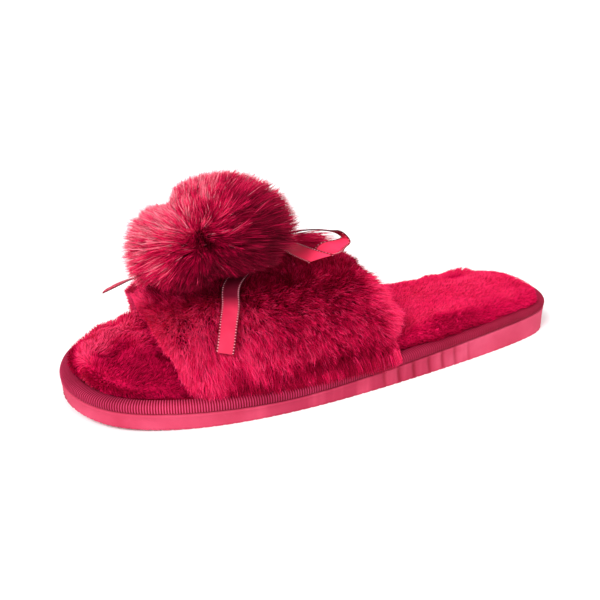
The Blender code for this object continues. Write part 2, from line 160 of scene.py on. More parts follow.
def addPiece(name, bm, material, nodes=()):
    bmesh.ops.translate(bm, vec=(0, yShift, 0), verts=bm.verts[:])
    bmesh.ops.scale(bm, vec=(mm, mm, mm), verts=bm.verts[:])
    mesh = bpy.data.meshes.new(name)
    bm.to_mesh(mesh)
    bm.free()
    return addMesh(name, mesh, material, nodes)


def addMesh(name, mesh, material, nodes=()):
    mesh.shade_smooth()
    mesh.materials.append(material)
    piece = bpy.data.objects.new(name, mesh)
    scene.collection.objects.link(piece)
    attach(piece, "root")
    if nodes:
        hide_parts(*nodes)
    return piece


def newMaterial(name, sockets):
    material = bpy.data.materials.new(name)
    material.use_nodes = True
    shader = material.node_tree.nodes["Principled BSDF"]
    for socket, value in sockets.items():
        shader.inputs[socket].default_value = value
    return material, material.node_tree, shader


def addNode(tree, kind, inputs=None, **settings):
    made = tree.nodes.new(kind)
    for key, value in settings.items():
        setattr(made, key, value)
    for socket, value in (inputs or {}).items():
        if isinstance(value, bpy.types.NodeSocket):
            tree.links.new(value, made.inputs[socket])
        else:
            made.inputs[socket].default_value = value
    return made


def addRamp(tree, source, stops):
    made = addNode(tree, "ShaderNodeValToRGB", {"Fac": source})
    elements = made.color_ramp.elements
    while len(elements) < len(stops):
        elements.new(0.5)
    for element, (place, colour) in zip(elements, stops):
        element.position = place
        element.color = (*colour, 1) if len(colour) == 3 else colour
    return made.outputs["Color"]


def addMix(tree, factor, first, second, blend="MIX"):
    made = addNode(tree, "ShaderNodeMix", data_type="RGBA", blend_type=blend)
    for index, value in ((0, factor), (6, first), (7, second)):  # the colour sockets of the node
        if isinstance(value, bpy.types.NodeSocket):
            tree.links.new(value, made.inputs[index])
        else:
            made.inputs[index].default_value = value
    return made.outputs[2]


def addBump(tree, shader, height, strength, distance):
    bump = addNode(tree, "ShaderNodeBump", {"Height": height, "Strength": strength, "Distance": distance})
    tree.links.new(bump.outputs["Normal"], shader.inputs["Normal"])


def objectPlace(tree):
    return addNode(tree, "ShaderNodeTexCoord").outputs["Object"]


def addCloud(tree, place, scale, detail):
    inputs = {"Vector": place, "Scale": scale, "Detail": detail}
    return addNode(tree, "ShaderNodeTexNoise", inputs).outputs["Fac"]


def addRange(tree, value, limits, ends=(0.0, 1.0), slope="SMOOTHSTEP"):
    inputs = {"Value": value, "From Min": limits[0], "From Max": limits[1],
              "To Min": ends[0], "To Max": ends[1]}
    return addNode(tree, "ShaderNodeMapRange", inputs, interpolation_type=slope).outputs[0]


def addTimes(tree, first, second):
    return addNode(tree, "ShaderNodeMath", {0: first, 1: second}, operation="MULTIPLY").outputs[0]


def addTint(tree, colour, attribute, stops):
    # multiplies a colour by one that follows an attribute of the piece
    share = addNode(tree, "ShaderNodeAttribute", attribute_name=attribute).outputs["Fac"]
    return addMix(tree, 1.0, colour, addRamp(tree, share, stops), "MULTIPLY")


def backingMaterial(name, looks):
    # cloth under the hair, cloudy and rough
    material, tree, shader = newMaterial(name, looks["sockets"])
    cloud = addCloud(tree, objectPlace(tree), *looks["cloud"])
    tree.links.new(addRamp(tree, cloud, looks["stops"]), shader.inputs["Base Color"])
    addBump(tree, shader, cloud, *looks["bump"])
    return material


# Camera at the photograph's angle, with its framing

cameraSet = {
    "turn": 24.98,
    "rise": 26.42,
    "distance": 0.460,
    "sensor": 36.0,
    "lens": 53.55,
    "shift": (-0.0371, 0.0917),
    "clip": (0.01, 20.0),
}


def makeCamera():
    turn, rise = math.radians(cameraSet["turn"]), math.radians(cameraSet["rise"])
    back = Vector((math.sin(turn) * math.cos(rise), math.cos(turn) * math.cos(rise), math.sin(rise)))
    data = bpy.data.cameras.new("camera")
    data.sensor_width = cameraSet["sensor"]
    data.lens = cameraSet["lens"]
    data.shift_x, data.shift_y = cameraSet["shift"]
    data.clip_start, data.clip_end = cameraSet["clip"]
    camera = bpy.data.objects.new("camera", data)
    scene.collection.objects.link(camera)
    camera.location = back * cameraSet["distance"] + Vector((0, yShift * mm, 0))
    camera.rotation_euler = back.to_track_quat("Z", "Y").to_euler()
    scene.camera = camera


makeCamera()
print("camera placed")


# Plain studio: pale floor, white surround, soft key from the toe side, front fill and rim light

studio = {
    "floorSize": 8.0,
    "floorSteps": 8,
    "floorFinish": {"Base Color": (0.94, 0.94, 0.94, 1), "Roughness": 0.9, "Specular IOR Level": 0.1},
    "surround": (1, 1, 1, 1),
    "world": 0.62,
    "key": {"from": (0.62, 0.36, 0.72), "strength": 2.8, "angle": 26.0},
    "fill": {"from": (0.20, 1.05, 0.50), "size": 1.0, "power": 5.0},
    "rim": {"from": (-0.90, 0.04, 0.42), "strength": 1.0, "angle": 30.0},
}


def addLight(name, kind, place):
    light = bpy.data.lights.new(name, kind)
    holder = bpy.data.objects.new(name, light)
    scene.collection.objects.link(holder)
    holder.location = place
    holder.rotation_euler = Vector(place).to_track_quat("Z", "Y").to_euler()
    return light


def makeStudio():
    bm = bmesh.new()
    steps = studio["floorSteps"]
    bmesh.ops.create_grid(bm, x_segments=steps, y_segments=steps, size=0.5 * studio["floorSize"])
    mesh = bpy.data.meshes.new("floor")
    bm.to_mesh(mesh)
    bm.free()
    mesh.materials.append(newMaterial("paleFloor", studio["floorFinish"])[0])
    floor = bpy.data.objects.new("floor", mesh)
    scene.collection.objects.link(floor)
    world = bpy.data.worlds.new("surround")
    world.use_nodes = True
    background = world.node_tree.nodes["Background"]
    background.inputs["Color"].default_value = studio["surround"]
    background.inputs["Strength"].default_value = studio["world"]
    scene.world = world
    for name in ("key", "rim"):
        sun = addLight(name, "SUN", studio[name]["from"])
        sun.energy = studio[name]["strength"]
        sun.angle = math.radians(studio[name]["angle"])
    fill = addLight("fill", "AREA", studio["fill"]["from"])
    fill.shape = "DISK"
    fill.size = studio["fill"]["size"]
    fill.energy = studio["fill"]["power"]
    scene.view_settings.view_transform = "Standard"


makeStudio()
print("studio set")


# Rings round the sole: a circle laid on the outline, drawn up row by row

def ringStart(bm, count, placeRow):
    bmesh.ops.create_circle(bm, cap_ends=False, radius=1, segments=count)
    station = bm.verts.layers.int.new("station")
    bm.verts.ensure_lookup_table()
    for k, vert in enumerate(bm.verts):
        vert[station] = k
    placeRow(bm.verts[:], station)
    return bm.edges[:], station


def ringRow(bm, edges, station, placeRow):
    made = bmesh.ops.extrude_edge_only(bm, edges=edges)["geom"]
    fresh = {v for v in made if isinstance(v, bmesh.types.BMVert)}
    placeRow(fresh, station)
    return [e for e in made if isinstance(e, bmesh.types.BMEdge) and all(v in fresh for v in e.verts)]


def rowPlacer(outline, inward, inset, height):
    # sets a row's points from arrays over the stations
    ring = outline + inward * np.reshape(inset, (-1, 1))

    def placeRow(verts, station):
        for vert in verts:
            k = vert[station]
            vert.co = (ring[k, 0], ring[k, 1], height[k])

    return placeRow


def ringStack(bm, count, rows):
    # rows of (inset, height) arrays; returns the edges of each row
    outline, inward = outlineOf(count)
    placers = [rowPlacer(outline, inward, inset, height) for inset, height in rows(outline, inward)]
    edges, station = ringStart(bm, count, placers[0])
    loops = [edges]
    for placeRow in placers[1:]:
        edges = ringRow(bm, edges, station, placeRow)
        loops.append(edges)
    return loops, station


# Strands: joined flat hairs, each with its shade and its root-to-tip place in the map

hairLine = {
    "short": {"places": (0.0, 0.55, 1.0), "taper": (1.0, 0.8)},
    "long": {"places": (0.0, 0.42, 0.76, 1.0), "taper": (1.0, 0.9, 0.6)},
}
hairMap = {"half": 0.004, "edge": 0.01}  # half width of a hair in the map, and the map's free edge


def strandMesh(name, kind, roots, bends, tips, widths, tones, dice):
    places, tapers = hairLine[kind]["places"], hairLine[kind]["taper"]
    count, steps = len(roots), len(tapers)
    side = np.cross(unit(tips - roots), unit(dice.normal(size=(count, 3))))
    side = unit(side) * 0.5 * widths[:, None]
    points = np.empty((count, 2 * steps + 1, 3))
    for k, place in enumerate(places):
        away = 1 - place
        middle = away * away * roots + 2 * away * place * bends + place * place * tips
        if k == steps:
            points[:, -1] = middle
        else:
            points[:, 2 * k] = middle - side * tapers[k]
            points[:, 2 * k + 1] = middle + side * tapers[k]
    points[..., 1] += yShift
    quads = [(2 * k, 2 * k + 1, 2 * k + 3, 2 * k + 2) for k in range(steps - 1)]
    corners = np.array([c for quad in quads for c in quad] + [2 * steps - 2, 2 * steps - 1, 2 * steps])
    starts = np.arange(0, len(corners), 4)
    hairs = np.arange(count)[:, None]
    loops = (corners[None, :] + points.shape[1] * hairs).ravel()
    mesh = bpy.data.meshes.new(name)
    mesh.vertices.add(count * points.shape[1])
    mesh.vertices.foreach_set("co", (points * mm).astype(np.float32).ravel())
    mesh.loops.add(len(loops))
    mesh.loops.foreach_set("vertex_index", loops.astype(np.int32))
    mesh.polygons.add(count * steps)
    faceStarts = (starts[None, :] + len(corners) * hairs).astype(np.int32)
    mesh.polygons.foreach_set("loop_start", faceStarts.ravel())
    half, edge = hairMap["half"], hairMap["edge"]
    across = np.append(np.tile((-1, 1), steps), 0) * half
    along = np.repeat(places, 2)[:2 * steps + 1]
    u = np.clip(tones, edge, 1 - edge)[:, None] + across[None, :]
    v = np.broadcast_to(edge + (1 - 2 * edge) * along[None, :], u.shape)
    layer = mesh.uv_layers.new(name="OFBake")
    layer.uv.foreach_set("vector", np.stack((u, v), -1)[:, corners].astype(np.float32).ravel())
    mesh.update()
    mesh.validate()
    return mesh


def tufted(tips, size, pull, share, dice):
    # draws the tips together into locks of about the given size, one lock for a share of the tips
    seeds = tips[dice.choice(len(tips), max(8, int(len(tips) * share)), replace=False)]
    search = KDTree(len(seeds))
    for k, seed in enumerate(seeds):
        search.insert(Vector(seed), k)
    search.balance()
    found = [search.find(Vector(tip)) for tip in tips]
    target = np.array([hit[0] for hit in found])
    near = pull * np.exp(-(np.array([hit[2] for hit in found]) / size) ** 2)
    return tips + (target - tips) * near[:, None], np.array([hit[1] for hit in found])


def furMaterial(name, looks):
    material, tree, shader = newMaterial(name, looks["sockets"])
    place = addNode(tree, "ShaderNodeUVMap", uv_map="OFBake")
    parts = addNode(tree, "ShaderNodeSeparateXYZ", {"Vector": place.outputs["UV"]})
    tone = addRamp(tree, parts.outputs["X"], looks["tones"])
    # painted shade down among the hairs: darker toward the roots
    depth = addRamp(tree, parts.outputs["Y"], looks["depth"])
    tree.links.new(addMix(tree, 1.0, tone, depth, "MULTIPLY"), shader.inputs["Base Color"])
    return material


def roughField(points, size, seed):
    # slow random field from -1 to 1 at the given points
    offset = Vector((seed * 7.3, seed * 3.1, seed * 5.7))
    return np.array([noise.noise(Vector(p) / size + offset) for p in points])


def roughWays(points, size, seed):
    # slow random directions, one field for each axis
    return np.column_stack([roughField(points, size, seed + 20 * axis) for axis in (1, 2, 3)])


# Outsole: foam slab with a waffled tread and a darker, streaked waist

outsole = {
    "segments": 132,
    "wall": [(1.2, 0.0, 0.0), (0.85, 0.0, 0.1), (0.6, 0.0, 0.5), (0.5, 0.0, 1.3), (0.5, 0.3, 0.4),
             (0.55, 0.55, 0.0), (0.45, 0.8, -0.3), (0.2, 1.0, -0.9), (0.5, 1.0, -0.3),
             (1.2, 1.0, 0.0)],  # inset, share of the slab's thickness, lift
    "acrossCuts": 13,
    "padSlope": -0.9,  # faces turned down this far carry the tread
    "padTop": 4.5,
    "padInset": 0.8,
    "treadDepth": 0.9,
    "sharpAngle": 38.0,
    "creases": [(-13.0, 0.45), (-21.5, 0.55), (-30.5, 0.55), (-40.0, 0.5), (-48.5, 0.5), (-56.5, 0.4),
                (-65.5, 0.3)],  # place along the lateral waist, depth
    "creaseWidth": 1.2,
    "creaseSlant": 0.16,
    "creaseEnds": 0.3,  # share of its depth that a crease has at the wall's edges
    "creaseZone": (-74.0, -4.0),
    "creaseCuts": 5,
    "looks": {
        "sockets": {"Roughness": 0.85, "Specular IOR Level": 0.2},
        "cloud": (42.0, 4.0),  # scale, detail
        "stops": [(0.30, (0.46, 0.030, 0.076)), (0.55, (0.55, 0.052, 0.114)),
                  (0.75, (0.63, 0.080, 0.158))],
        "waist": (-0.085, -0.02),  # the darker part starts and ends between these, in metres
        "front": (0.03, 0.075),
        "streaks": (120.0, 120.0, 10.0),
        "streakCloud": (1.0, 2.0),
        "waistStreaks": [(0.30, (0, 0, 0)), (0.54, (1, 1, 1))],
        "waistDark": (0.34, 0.013, 0.050, 1),
        "waistDarkShare": 0.75,
        # painted shade in the creases
        "crease": [(0.1, (1.0, 1.0, 1.0)), (0.9, (0.66, 0.36, 0.46))],
        "nap": (1500.0, 3.0),
        "bump": (0.5, 0.0004),  # strength, distance
    },
}


def makeOutsole():
    def rows(outline, inward):
        x = outline[:, 0]
        return [(np.full(len(x), inset), groundAt(x) + share * slabThick(shareAt(x)) + lift)
                for inset, share, lift in outsole["wall"]]

    bm = bmesh.new()
    loops, station = ringStack(bm, outsole["segments"], rows)
    half = outsole["segments"] // 2
    for loop in (loops[0], loops[-1]):
        ring = {v[station]: v for e in loop for v in e.verts}
        sides = [e for e in loop if not any(v[station] in (0, half) for v in e.verts)]
        bmesh.ops.bridge_loops(bm, edges=sides)
        for tip in (0, half):
            fan = [ring[(tip + step) % len(ring)] for step in (-1, 0, 1)]
            bmesh.ops.contextual_create(bm, geom=fan)
    bmesh.ops.recalc_face_normals(bm, faces=bm.faces[:])
    rim = set(loops[0])
    lowest = {v for e in rim for v in e.verts}
    across = [e for e in bm.edges if all(v in lowest for v in e.verts) and e not in rim]
    bmesh.ops.subdivide_edges(bm, edges=across, cuts=outsole["acrossCuts"], use_grid_fill=True)
    pads = [f for f in bm.faces if f.normal.z < outsole["padSlope"] and len(f.verts) == 4
            and f.calc_center_median().z < outsole["padTop"]]
    padSet = set(pads)
    rest = {v for f in bm.faces if f not in padSet for v in f.verts}
    padVerts = {v for f in pads for v in f.verts}
    lines = [v for v in bm.verts if v in padVerts and v not in rest]
    bmesh.ops.inset_individual(bm, faces=pads, thickness=outsole["padInset"], use_even_offset=True)
    bmesh.ops.translate(bm, vec=(0, 0, outsole["treadDepth"]), verts=lines)
    pressCreases(bm, loops)
    piece = addPiece("outsole_foam", bm, outsoleMaterial(), ["outsole"])
    piece.data.set_sharp_from_angle(angle=math.radians(outsole["sharpAngle"]))


def pressCreases(bm, loops):
    # upright creases in the lateral wall of the waist, on finer steps of its rows
    low, high = outsole["creaseZone"]
    zone = [e for loop in loops for e in loop if all(v.co.y > 0 and low < v.co.x < high for v in e.verts)]
    bmesh.ops.subdivide_edges(bm, edges=zone, cuts=outsole["creaseCuts"])
    bm.normal_update()
    # the creases' depth is kept for their painted shade
    layer = bm.verts.layers.float.new("creaseShare")
    deepest = max(depth for place, depth in outsole["creases"])
    for vert in bm.verts:
        share = (vert.co.z - groundAt(vert.co.x)) / slabThick(shareAt(vert.co.x))
        if vert.co.y < 0 or not 0 < share < 1:
            continue
        x = vert.co.x - outsole["creaseSlant"] * vert.co.z
        dent = sum(depth * math.exp(-((x - place) / outsole["creaseWidth"]) ** 2)
                   for place, depth in outsole["creases"])
        vert[layer] = dent / deepest
        dent *= min(1, 4 * share * (1 - share) + outsole["creaseEnds"])
        vert.co -= Vector((vert.normal.x, vert.normal.y, 0)) * dent


def outsoleMaterial():
    looks = outsole["looks"]
    material, tree, shader = newMaterial("suedeFoam", looks["sockets"])
    place = objectPlace(tree)
    colour = addRamp(tree, addCloud(tree, place, *looks["cloud"]), looks["stops"])
    # darker, streaked waist between heel and ball
    along = addNode(tree, "ShaderNodeSeparateXYZ", {"Vector": place}).outputs["X"]
    waist = addTimes(tree, addRange(tree, along, looks["waist"]),
                     addRange(tree, along, looks["front"], (1.0, 0.0)))
    upright = addNode(tree, "ShaderNodeMapping", {"Vector": place, "Scale": looks["streaks"]}).outputs[0]
    waistStreaks = addRamp(tree, addCloud(tree, upright, *looks["streakCloud"]), looks["waistStreaks"])
    amount = addTimes(tree, addTimes(tree, waist, waistStreaks), looks["waistDarkShare"])
    colour = addMix(tree, amount, colour, looks["waistDark"])
    # painted shade in the creases, darkest where they are deepest
    colour = addTint(tree, colour, "creaseShare", looks["crease"])
    tree.links.new(colour, shader.inputs["Base Color"])
    addBump(tree, shader, addCloud(tree, place, *looks["nap"]), *looks["bump"])
    return material


makeOutsole()
print("outsole made")


# Edge binding: ribbed tape round the footbed

binding = {
    "ribPitch": 1.21,
    "stepsPerRib": 4,
    "ribDepth": 0.42,
    "ribShape": (0.0, 0.62, 1.0, 0.62),
    "plainHeight": 0.62,
    "plainHeel": (-70.0, 90.0, 0.35),  # where the painted rib shade and highlight start to show, over what length, share at the heel
    "sideReach": 3.4,  # ribs stand outwards on the side, and upwards further in than this
    "section": [(0.9, 0.3, 0.0), (0.35, 0.7, 0.4), (0.1, 1.3, 1.0), (0.0, 2.1, 1.0), (0.1, 3.0, 1.0),
                (0.6, 3.9, 1.0), (1.6, 4.5, 1.0), (2.9, 4.8, 1.0), (4.4, 4.9, 1.0), (5.8, 4.7, 1.0),
                (7.2, 3.8, 0.6), (8.0, 1.8, 0.0), (8.0, 0.3, 0.0)],  # inset, rise, share of the ribs
    "looks": {
        "sockets": {"Roughness": 0.7, "Specular IOR Level": 0.1},
        "cloud": (60.0, 3.0),
        "stops": [(0.3, (0.22, 0.0035, 0.026)), (0.7, (0.30, 0.008, 0.043))],
        "toe": (0.05, 0.13),  # where the toe's painted highlight falls, in metres
        "toeHighlightShare": [(0.0, (0, 0, 0)), (0.55, (1, 1, 1)), (0.8, (0.25, 0.25, 0.25))],
        "toeHighlight": (0.46, 0.018, 0.070, 1),
        "ribShading": [(0.0, (0.28, 0.05, 0.12)), (0.6, (0.80, 0.48, 0.58)), (1.0, (1.55, 3.9, 2.6))],
        "threads": (2600.0, 2.0),
        "bump": (0.4, 0.0002),
    },
}


def makeBinding():
    ringLength = np.linalg.norm(outlineFine - np.roll(outlineFine, 1, axis=0), axis=1).sum()
    steps = binding["stepsPerRib"]
    count = steps * int(round(ringLength / binding["ribPitch"]))

    def rows(outline, inward):
        seam = seamAt(outline[:, 0])
        rib = np.resize(binding["ribShape"], len(outline)) - 1
        found = []
        for inset, rise, share in binding["section"]:
            outer = np.clip((binding["sideReach"] - inset) / binding["sideReach"], 0, 1)
            depth = binding["ribDepth"] * share * rib
            found.append((inset - depth * outer, seam + rise + depth * (1 - outer)))
        return found

    bm = bmesh.new()
    loops, station = ringStack(bm, count, rows)
    bmesh.ops.bridge_loops(bm, edges=loops[0] + loops[-1])
    bmesh.ops.recalc_face_normals(bm, faces=bm.faces[:])
    # ribHeight carries the painted shade and highlight of the ribs, fading toward the heel
    height = bm.verts.layers.float.new("ribHeight")
    start, length, least = binding["plainHeel"]
    plain = binding["plainHeight"]
    for vert in bm.verts:
        shown = least + (1 - least) * float(rising(vert.co.x, start, length))
        vert[height] = plain + shown * (binding["ribShape"][vert[station] % steps] - plain)
    addPiece("edge_tape", bm, bindingMaterial(), ["edge_binding"])


def bindingMaterial():
    looks = binding["looks"]
    material, tree, shader = newMaterial("ribbedTape", looks["sockets"])
    place = objectPlace(tree)
    colour = addRamp(tree, addCloud(tree, place, *looks["cloud"]), looks["stops"])
    along = addNode(tree, "ShaderNodeSeparateXYZ", {"Vector": place}).outputs["X"]
    # painted highlight on the tape at the toe
    light = addRamp(tree, addRange(tree, along, looks["toe"], slope="LINEAR"), looks["toeHighlightShare"])
    colour = addMix(tree, light, colour, looks["toeHighlight"])
    # painted shade in the rib grooves, painted highlight on the rib tops
    colour = addTint(tree, colour, "ribHeight", looks["ribShading"])
    tree.links.new(colour, shader.inputs["Base Color"])
    addBump(tree, shader, addCloud(tree, place, *looks["threads"]), *looks["bump"])
    return material


makeBinding()
print("edge tape made")


# Cloth of the upper: sections from its heel hem (band 0) to its toe hem (band 1)

cloth = {
    "band": [0.0, 0.35, 0.70, 1.0],
    "lateralX": [-22, 13, 47, 77],
    "apexX": [-11, 24, 60, 90],
    "medialX": [-19, 16, 51, 81],
    "height": [47, 48, 46.5, 42],
    "ridge": [-4, -4, -3, -2],
    "fullness": 0.80,
    "bulge": 4.0,
    "footInset": 8.3,
    "footRise": 0.3,
    "wall": 2.6,
    "bandRange": (-0.2, 1.35, 156),
    "girthCount": 181,
}


def clothRow(band):
    col = {key: float(curveThrough(cloth["band"], cloth[key])(band))
           for key in ("lateralX", "apexX", "medialX", "height", "ridge")}
    turn = np.linspace(0, np.pi, cloth["girthCount"])
    lateral = turn <= np.pi / 2 + 1e-9
    rise = np.sin(turn)
    footX = np.where(lateral, col["lateralX"], col["medialX"])
    footY = np.where(lateral, edgeAt(col["lateralX"], cloth["footInset"], True),
                     edgeAt(col["medialX"], cloth["footInset"], False))
    footZ = seamAt(footX) + cloth["footRise"]
    x = footX + (col["apexX"] - footX) * rise
    y = footY * np.abs(np.cos(turn)) ** cloth["fullness"] + col["ridge"] * rise
    y += np.where(lateral, 1, -1) * cloth["bulge"] * np.abs(np.sin(2 * turn)) * rise
    z = footZ + (col["height"] - footZ) * rise ** cloth["fullness"]
    points = np.column_stack((x, y, z))
    run = np.concatenate(([0], np.cumsum(np.linalg.norm(np.diff(points, axis=0), axis=1))))
    even = np.linspace(0, 1, cloth["girthCount"])
    return np.column_stack([np.interp(even, run / run[-1], points[:, axis]) for axis in range(3)])


clothBands = np.linspace(*cloth["bandRange"])
clothGrid = np.stack([clothRow(band) for band in clothBands])
clothToe = unit(np.gradient(clothGrid, axis=0))
clothAcross = unit(np.gradient(clothGrid, axis=1))
clothNormal = unit(np.cross(clothAcross, clothToe))


def clothAt(field, band, girth):
    # reads one of the cloth's fields between its grid points
    low, high, count = cloth["bandRange"]
    b = np.clip((np.asarray(band, float) - low) / (high - low) * (count - 1), 0, count - 1.001)
    g = np.clip(np.asarray(girth, float) * (cloth["girthCount"] - 1), 0, cloth["girthCount"] - 1.001)
    i, j = b.astype(int), g.astype(int)
    s, t = (b - i)[..., None], (g - j)[..., None]
    return ((1 - s) * (1 - t) * field[i, j] + s * (1 - t) * field[i + 1, j]
            + (1 - s) * t * field[i, j + 1] + s * t * field[i + 1, j + 1])


pompomPlace = (58.0, -2.0, 72.0)


# Upper: the cloth band with its lining, and the fur on it

upper = {
    "bandSteps": 40,
    "girthSteps": 84,
    "halves": {"upper_fur_lateral": (0.01, 0.48, 11), "upper_fur_medial": (0.48, 0.99, 12)},  # girths, seed
    "strands": 58000,
    "lip": 0.09,  # share of the band over which the fur rolls round a hem
    "lipShare": 0.12,  # share of the hairs that start on each lip
    "lipDip": 0.45,
    "hemFrom": 0.25,  # distance from the band's middle where its hems begin
    "ridge": 0.48,  # girth where the hair parts to both sides
    "bareRise": 5.4,  # no hair starts lower than this above the sole's seam
    "grown": (3.9, 6.0, 0.5),  # rise where the hair starts to grow longer, over what rise, shortest share
    "rootDepth": 0.4,
    "length": (8.8, 11.6),
    "uneven": (0.2, 9.0),  # amount, size
    "stand": (0.74, 0.08),  # share of the length, spread
    "lean": 0.50,
    "leanLimits": (0.4, 1.0),
    "bend": (0.5, 0.22),
    "spread": 0.4,
    "width": (0.26, 0.46),
    "tufts": (2.8, 0.35, 0.03),  # size, pull, share of tips that start a lock
    "tops": 8.4,  # highest tip above the cloth
    "lowestTip": 2.0,
    "nap": {"down": 0.8, "parting": 0.12, "toeHalf": 0.20, "heelHalf": 0.25, "stray": 0.18,
            "fields": [(0.35, 16.0, 1), (0.35, 5.0, 2)]},  # amount, size, seed
    "toeHem": 0.50,  # share of the hair's length left at the toe hem
    "heelHem": {"girths": (0.08, 0.14, 0.22, 0.36, 0.46), "shares": (0.50, 0.64, 1.06, 1.0, 0.82)},
    "hemLean": {1: 0.40, -1: 0.85},  # how far the hair of the toe and heel hem turns outwards
    "farHem": {"from": 0.52, "lean": 0.55},  # the medial toe hem turns outwards less
    "lie": {"band": (0.42, 0.30), "girth": (0.46, 0.08), "lean": 0.55, "stand": 0.30, "longer": 0.12},
    "skirt": {  # lateral hair over the tape, with its lowest rise along the band
        "girth": 0.3, "top": 13.5, "fade": 6.0, "out": (0.2, 1.7), "spread": 3.0, "ridge": (0.6, 9.4),
        "sideways": 0.4,
        "bands": (0.0, 0.05, 0.12, 0.20, 0.42, 0.55, 0.68),
        "drops": (1.0, 0.0, -0.2, 2.0, 2.8, 4.2, 6.0),
        "shares": (0.9, 1.0, 1.0, 1.0, 0.9, 0.6, 0.0)},
    "shade": {  # darker and lighter hair: random tone, with painted light and shade by place
        "base": 0.45,
        "cloud": (0.12, 14.0),
        "single": (0.33, 0.10),  # spread of single hairs, and how much less where they lie flat
        "lock": 0.16,
        "glints": (0.05, 0.3),  # share of pale hairs, how much lighter
        # painted light: hair tips along the hems are lighter, most at the heel hem's lateral part and the
        # medial toe hem
        "toeHem": 0.12,
        "heelHem": (0.8, 0.42, 0.1),
        "farHem": (0.80, 0.42, 0.08),
        # painted shade on the heel half, darker toward its top
        "heelHalf": 0.11,
        "heelTop": (0.12, 38.0, 12.0),
        # painted light on the toe flank, where the hair lies flat
        "lie": (0.34, 6.0, 14.0),
        # painted shade toward the bottom, where the hair meets the tape
        "low": {"tone": 0.42, "rise": (18.0, 9.0), "band": (0.9, 0.1), "cloud": 7.0},
        "under": {"tone": 0.30, "reach": (44.0, 14.0), "height": (44.0, 6.0)},  # painted shadow below the pompom
    },
    "looks": {
        "sockets": {"Roughness": 0.6, "Specular IOR Level": 0.05},
        "tones": [(0.0, (0.30, 0.0006, 0.022)), (0.35, (0.62, 0.0024, 0.056)), (0.65, (0.90, 0.009, 0.108)),
                  (1.0, (1.0, 0.050, 0.178))],
        # painted shade down among the hairs, darker toward the roots
        "depth": [(0.0, (0.30, 0.22, 0.24)), (0.45, (0.70, 0.66, 0.68)), (1.0, (1.0, 1.0, 1.0))],
    },
    "backing": {
        "sockets": {"Roughness": 0.95, "Specular IOR Level": 0.06},
        "cloud": (900.0, 3.0),
        "stops": [(0.3, (0.24, 0.001, 0.022)), (0.7, (0.38, 0.002, 0.040))],
        "bump": (0.6, 0.0005),
    },
}


def makeUpper(backing):
    bm = bmesh.new()
    bmesh.ops.create_grid(bm, x_segments=upper["bandSteps"], y_segments=upper["girthSteps"], size=0.5)
    where = np.array([v.co for v in bm.verts]) + 0.5
    for vert, point in zip(bm.verts, clothAt(clothGrid, where[:, 0], where[:, 1])):
        vert.co = point
    bm.normal_update()
    if sum(f.normal.z for f in bm.faces) < 0:
        bmesh.ops.reverse_faces(bm, faces=bm.faces[:])
    piece = addPiece("upper_cloth", bm, backing, ["upper"])
    wall = piece.modifiers.new("wall", "SOLIDIFY")
    wall.thickness = cloth["wall"] * mm
    wall.offset = -1


def upperRoots(low, high, dice):
    # random places on the cloth, closer along both hems
    count = upper["strands"]
    band = dice.uniform(0, 1, count * 2)
    girth = dice.uniform(low, high, count * 2)
    pick = dice.uniform(0, 1, count * 2)
    edge = 0.5 * upper["lip"] * dice.uniform(0, 1, count * 2) ** 2
    band = np.where(pick < upper["lipShare"], 1 - edge, np.where(pick > 1 - upper["lipShare"], edge, band))
    roots = clothAt(clothGrid, band, girth)
    rise = roots[:, 2] - seamAt(roots[:, 0])
    keep = np.flatnonzero(rise > upper["bareRise"])[:count]
    return band[keep], girth[keep], roots[keep], rise[keep]


def upperNap(roots, normal, toe, hair, dice):
    # the way that the hair is brushed: down both sides, a little toward the toe, with slow whirls
    nap, girth = upper["nap"], hair["girth"]
    parted = np.tanh((girth - upper["ridge"]) / nap["parting"])
    down = clothAt(clothAcross, hair["band"], girth) * parted[:, None]
    way = sum(amount * roughWays(roots, size, seed) for amount, size, seed in nap["fields"])
    way = way + dice.normal(scale=nap["stray"], size=roots.shape)
    flat = way - normal * np.sum(way * normal, axis=1)[:, None]
    heelHalf = nap["heelHalf"] - nap["heelHalf"] * hair["hem"]
    return nap["down"] * down + toe * np.where(hair["side"] > 0, nap["toeHalf"], heelHalf)[:, None] + flat


def hangOver(roots, tips, bends, hair, dice):
    # low hair of the lateral side falls outwards over the tape
    skirt, band = upper["skirt"], hair["band"]
    share = falling(hair["rise"], skirt["top"], skirt["fade"]) * (hair["girth"] < skirt["girth"])
    share *= np.interp(band, skirt["bands"], skirt["shares"])
    x = roots[:, 0] + skirt["sideways"] * (tips[:, 0] - roots[:, 0])
    seam = seamAt(x)
    lowest = np.interp(band, skirt["bands"], skirt["drops"])
    fallen = np.column_stack((x, edgeAt(x, 0, True) + dice.uniform(*skirt["out"], len(x)),
                              seam + lowest + skirt["spread"] * dice.uniform(0, 1, len(x)) ** 2))
    inset, height = skirt["ridge"]
    arch = np.column_stack((x, edgeAt(x, inset, True), seam + height))
    share = share[:, None]
    return tips + (fallen - tips) * share, bends + (arch - bends) * share


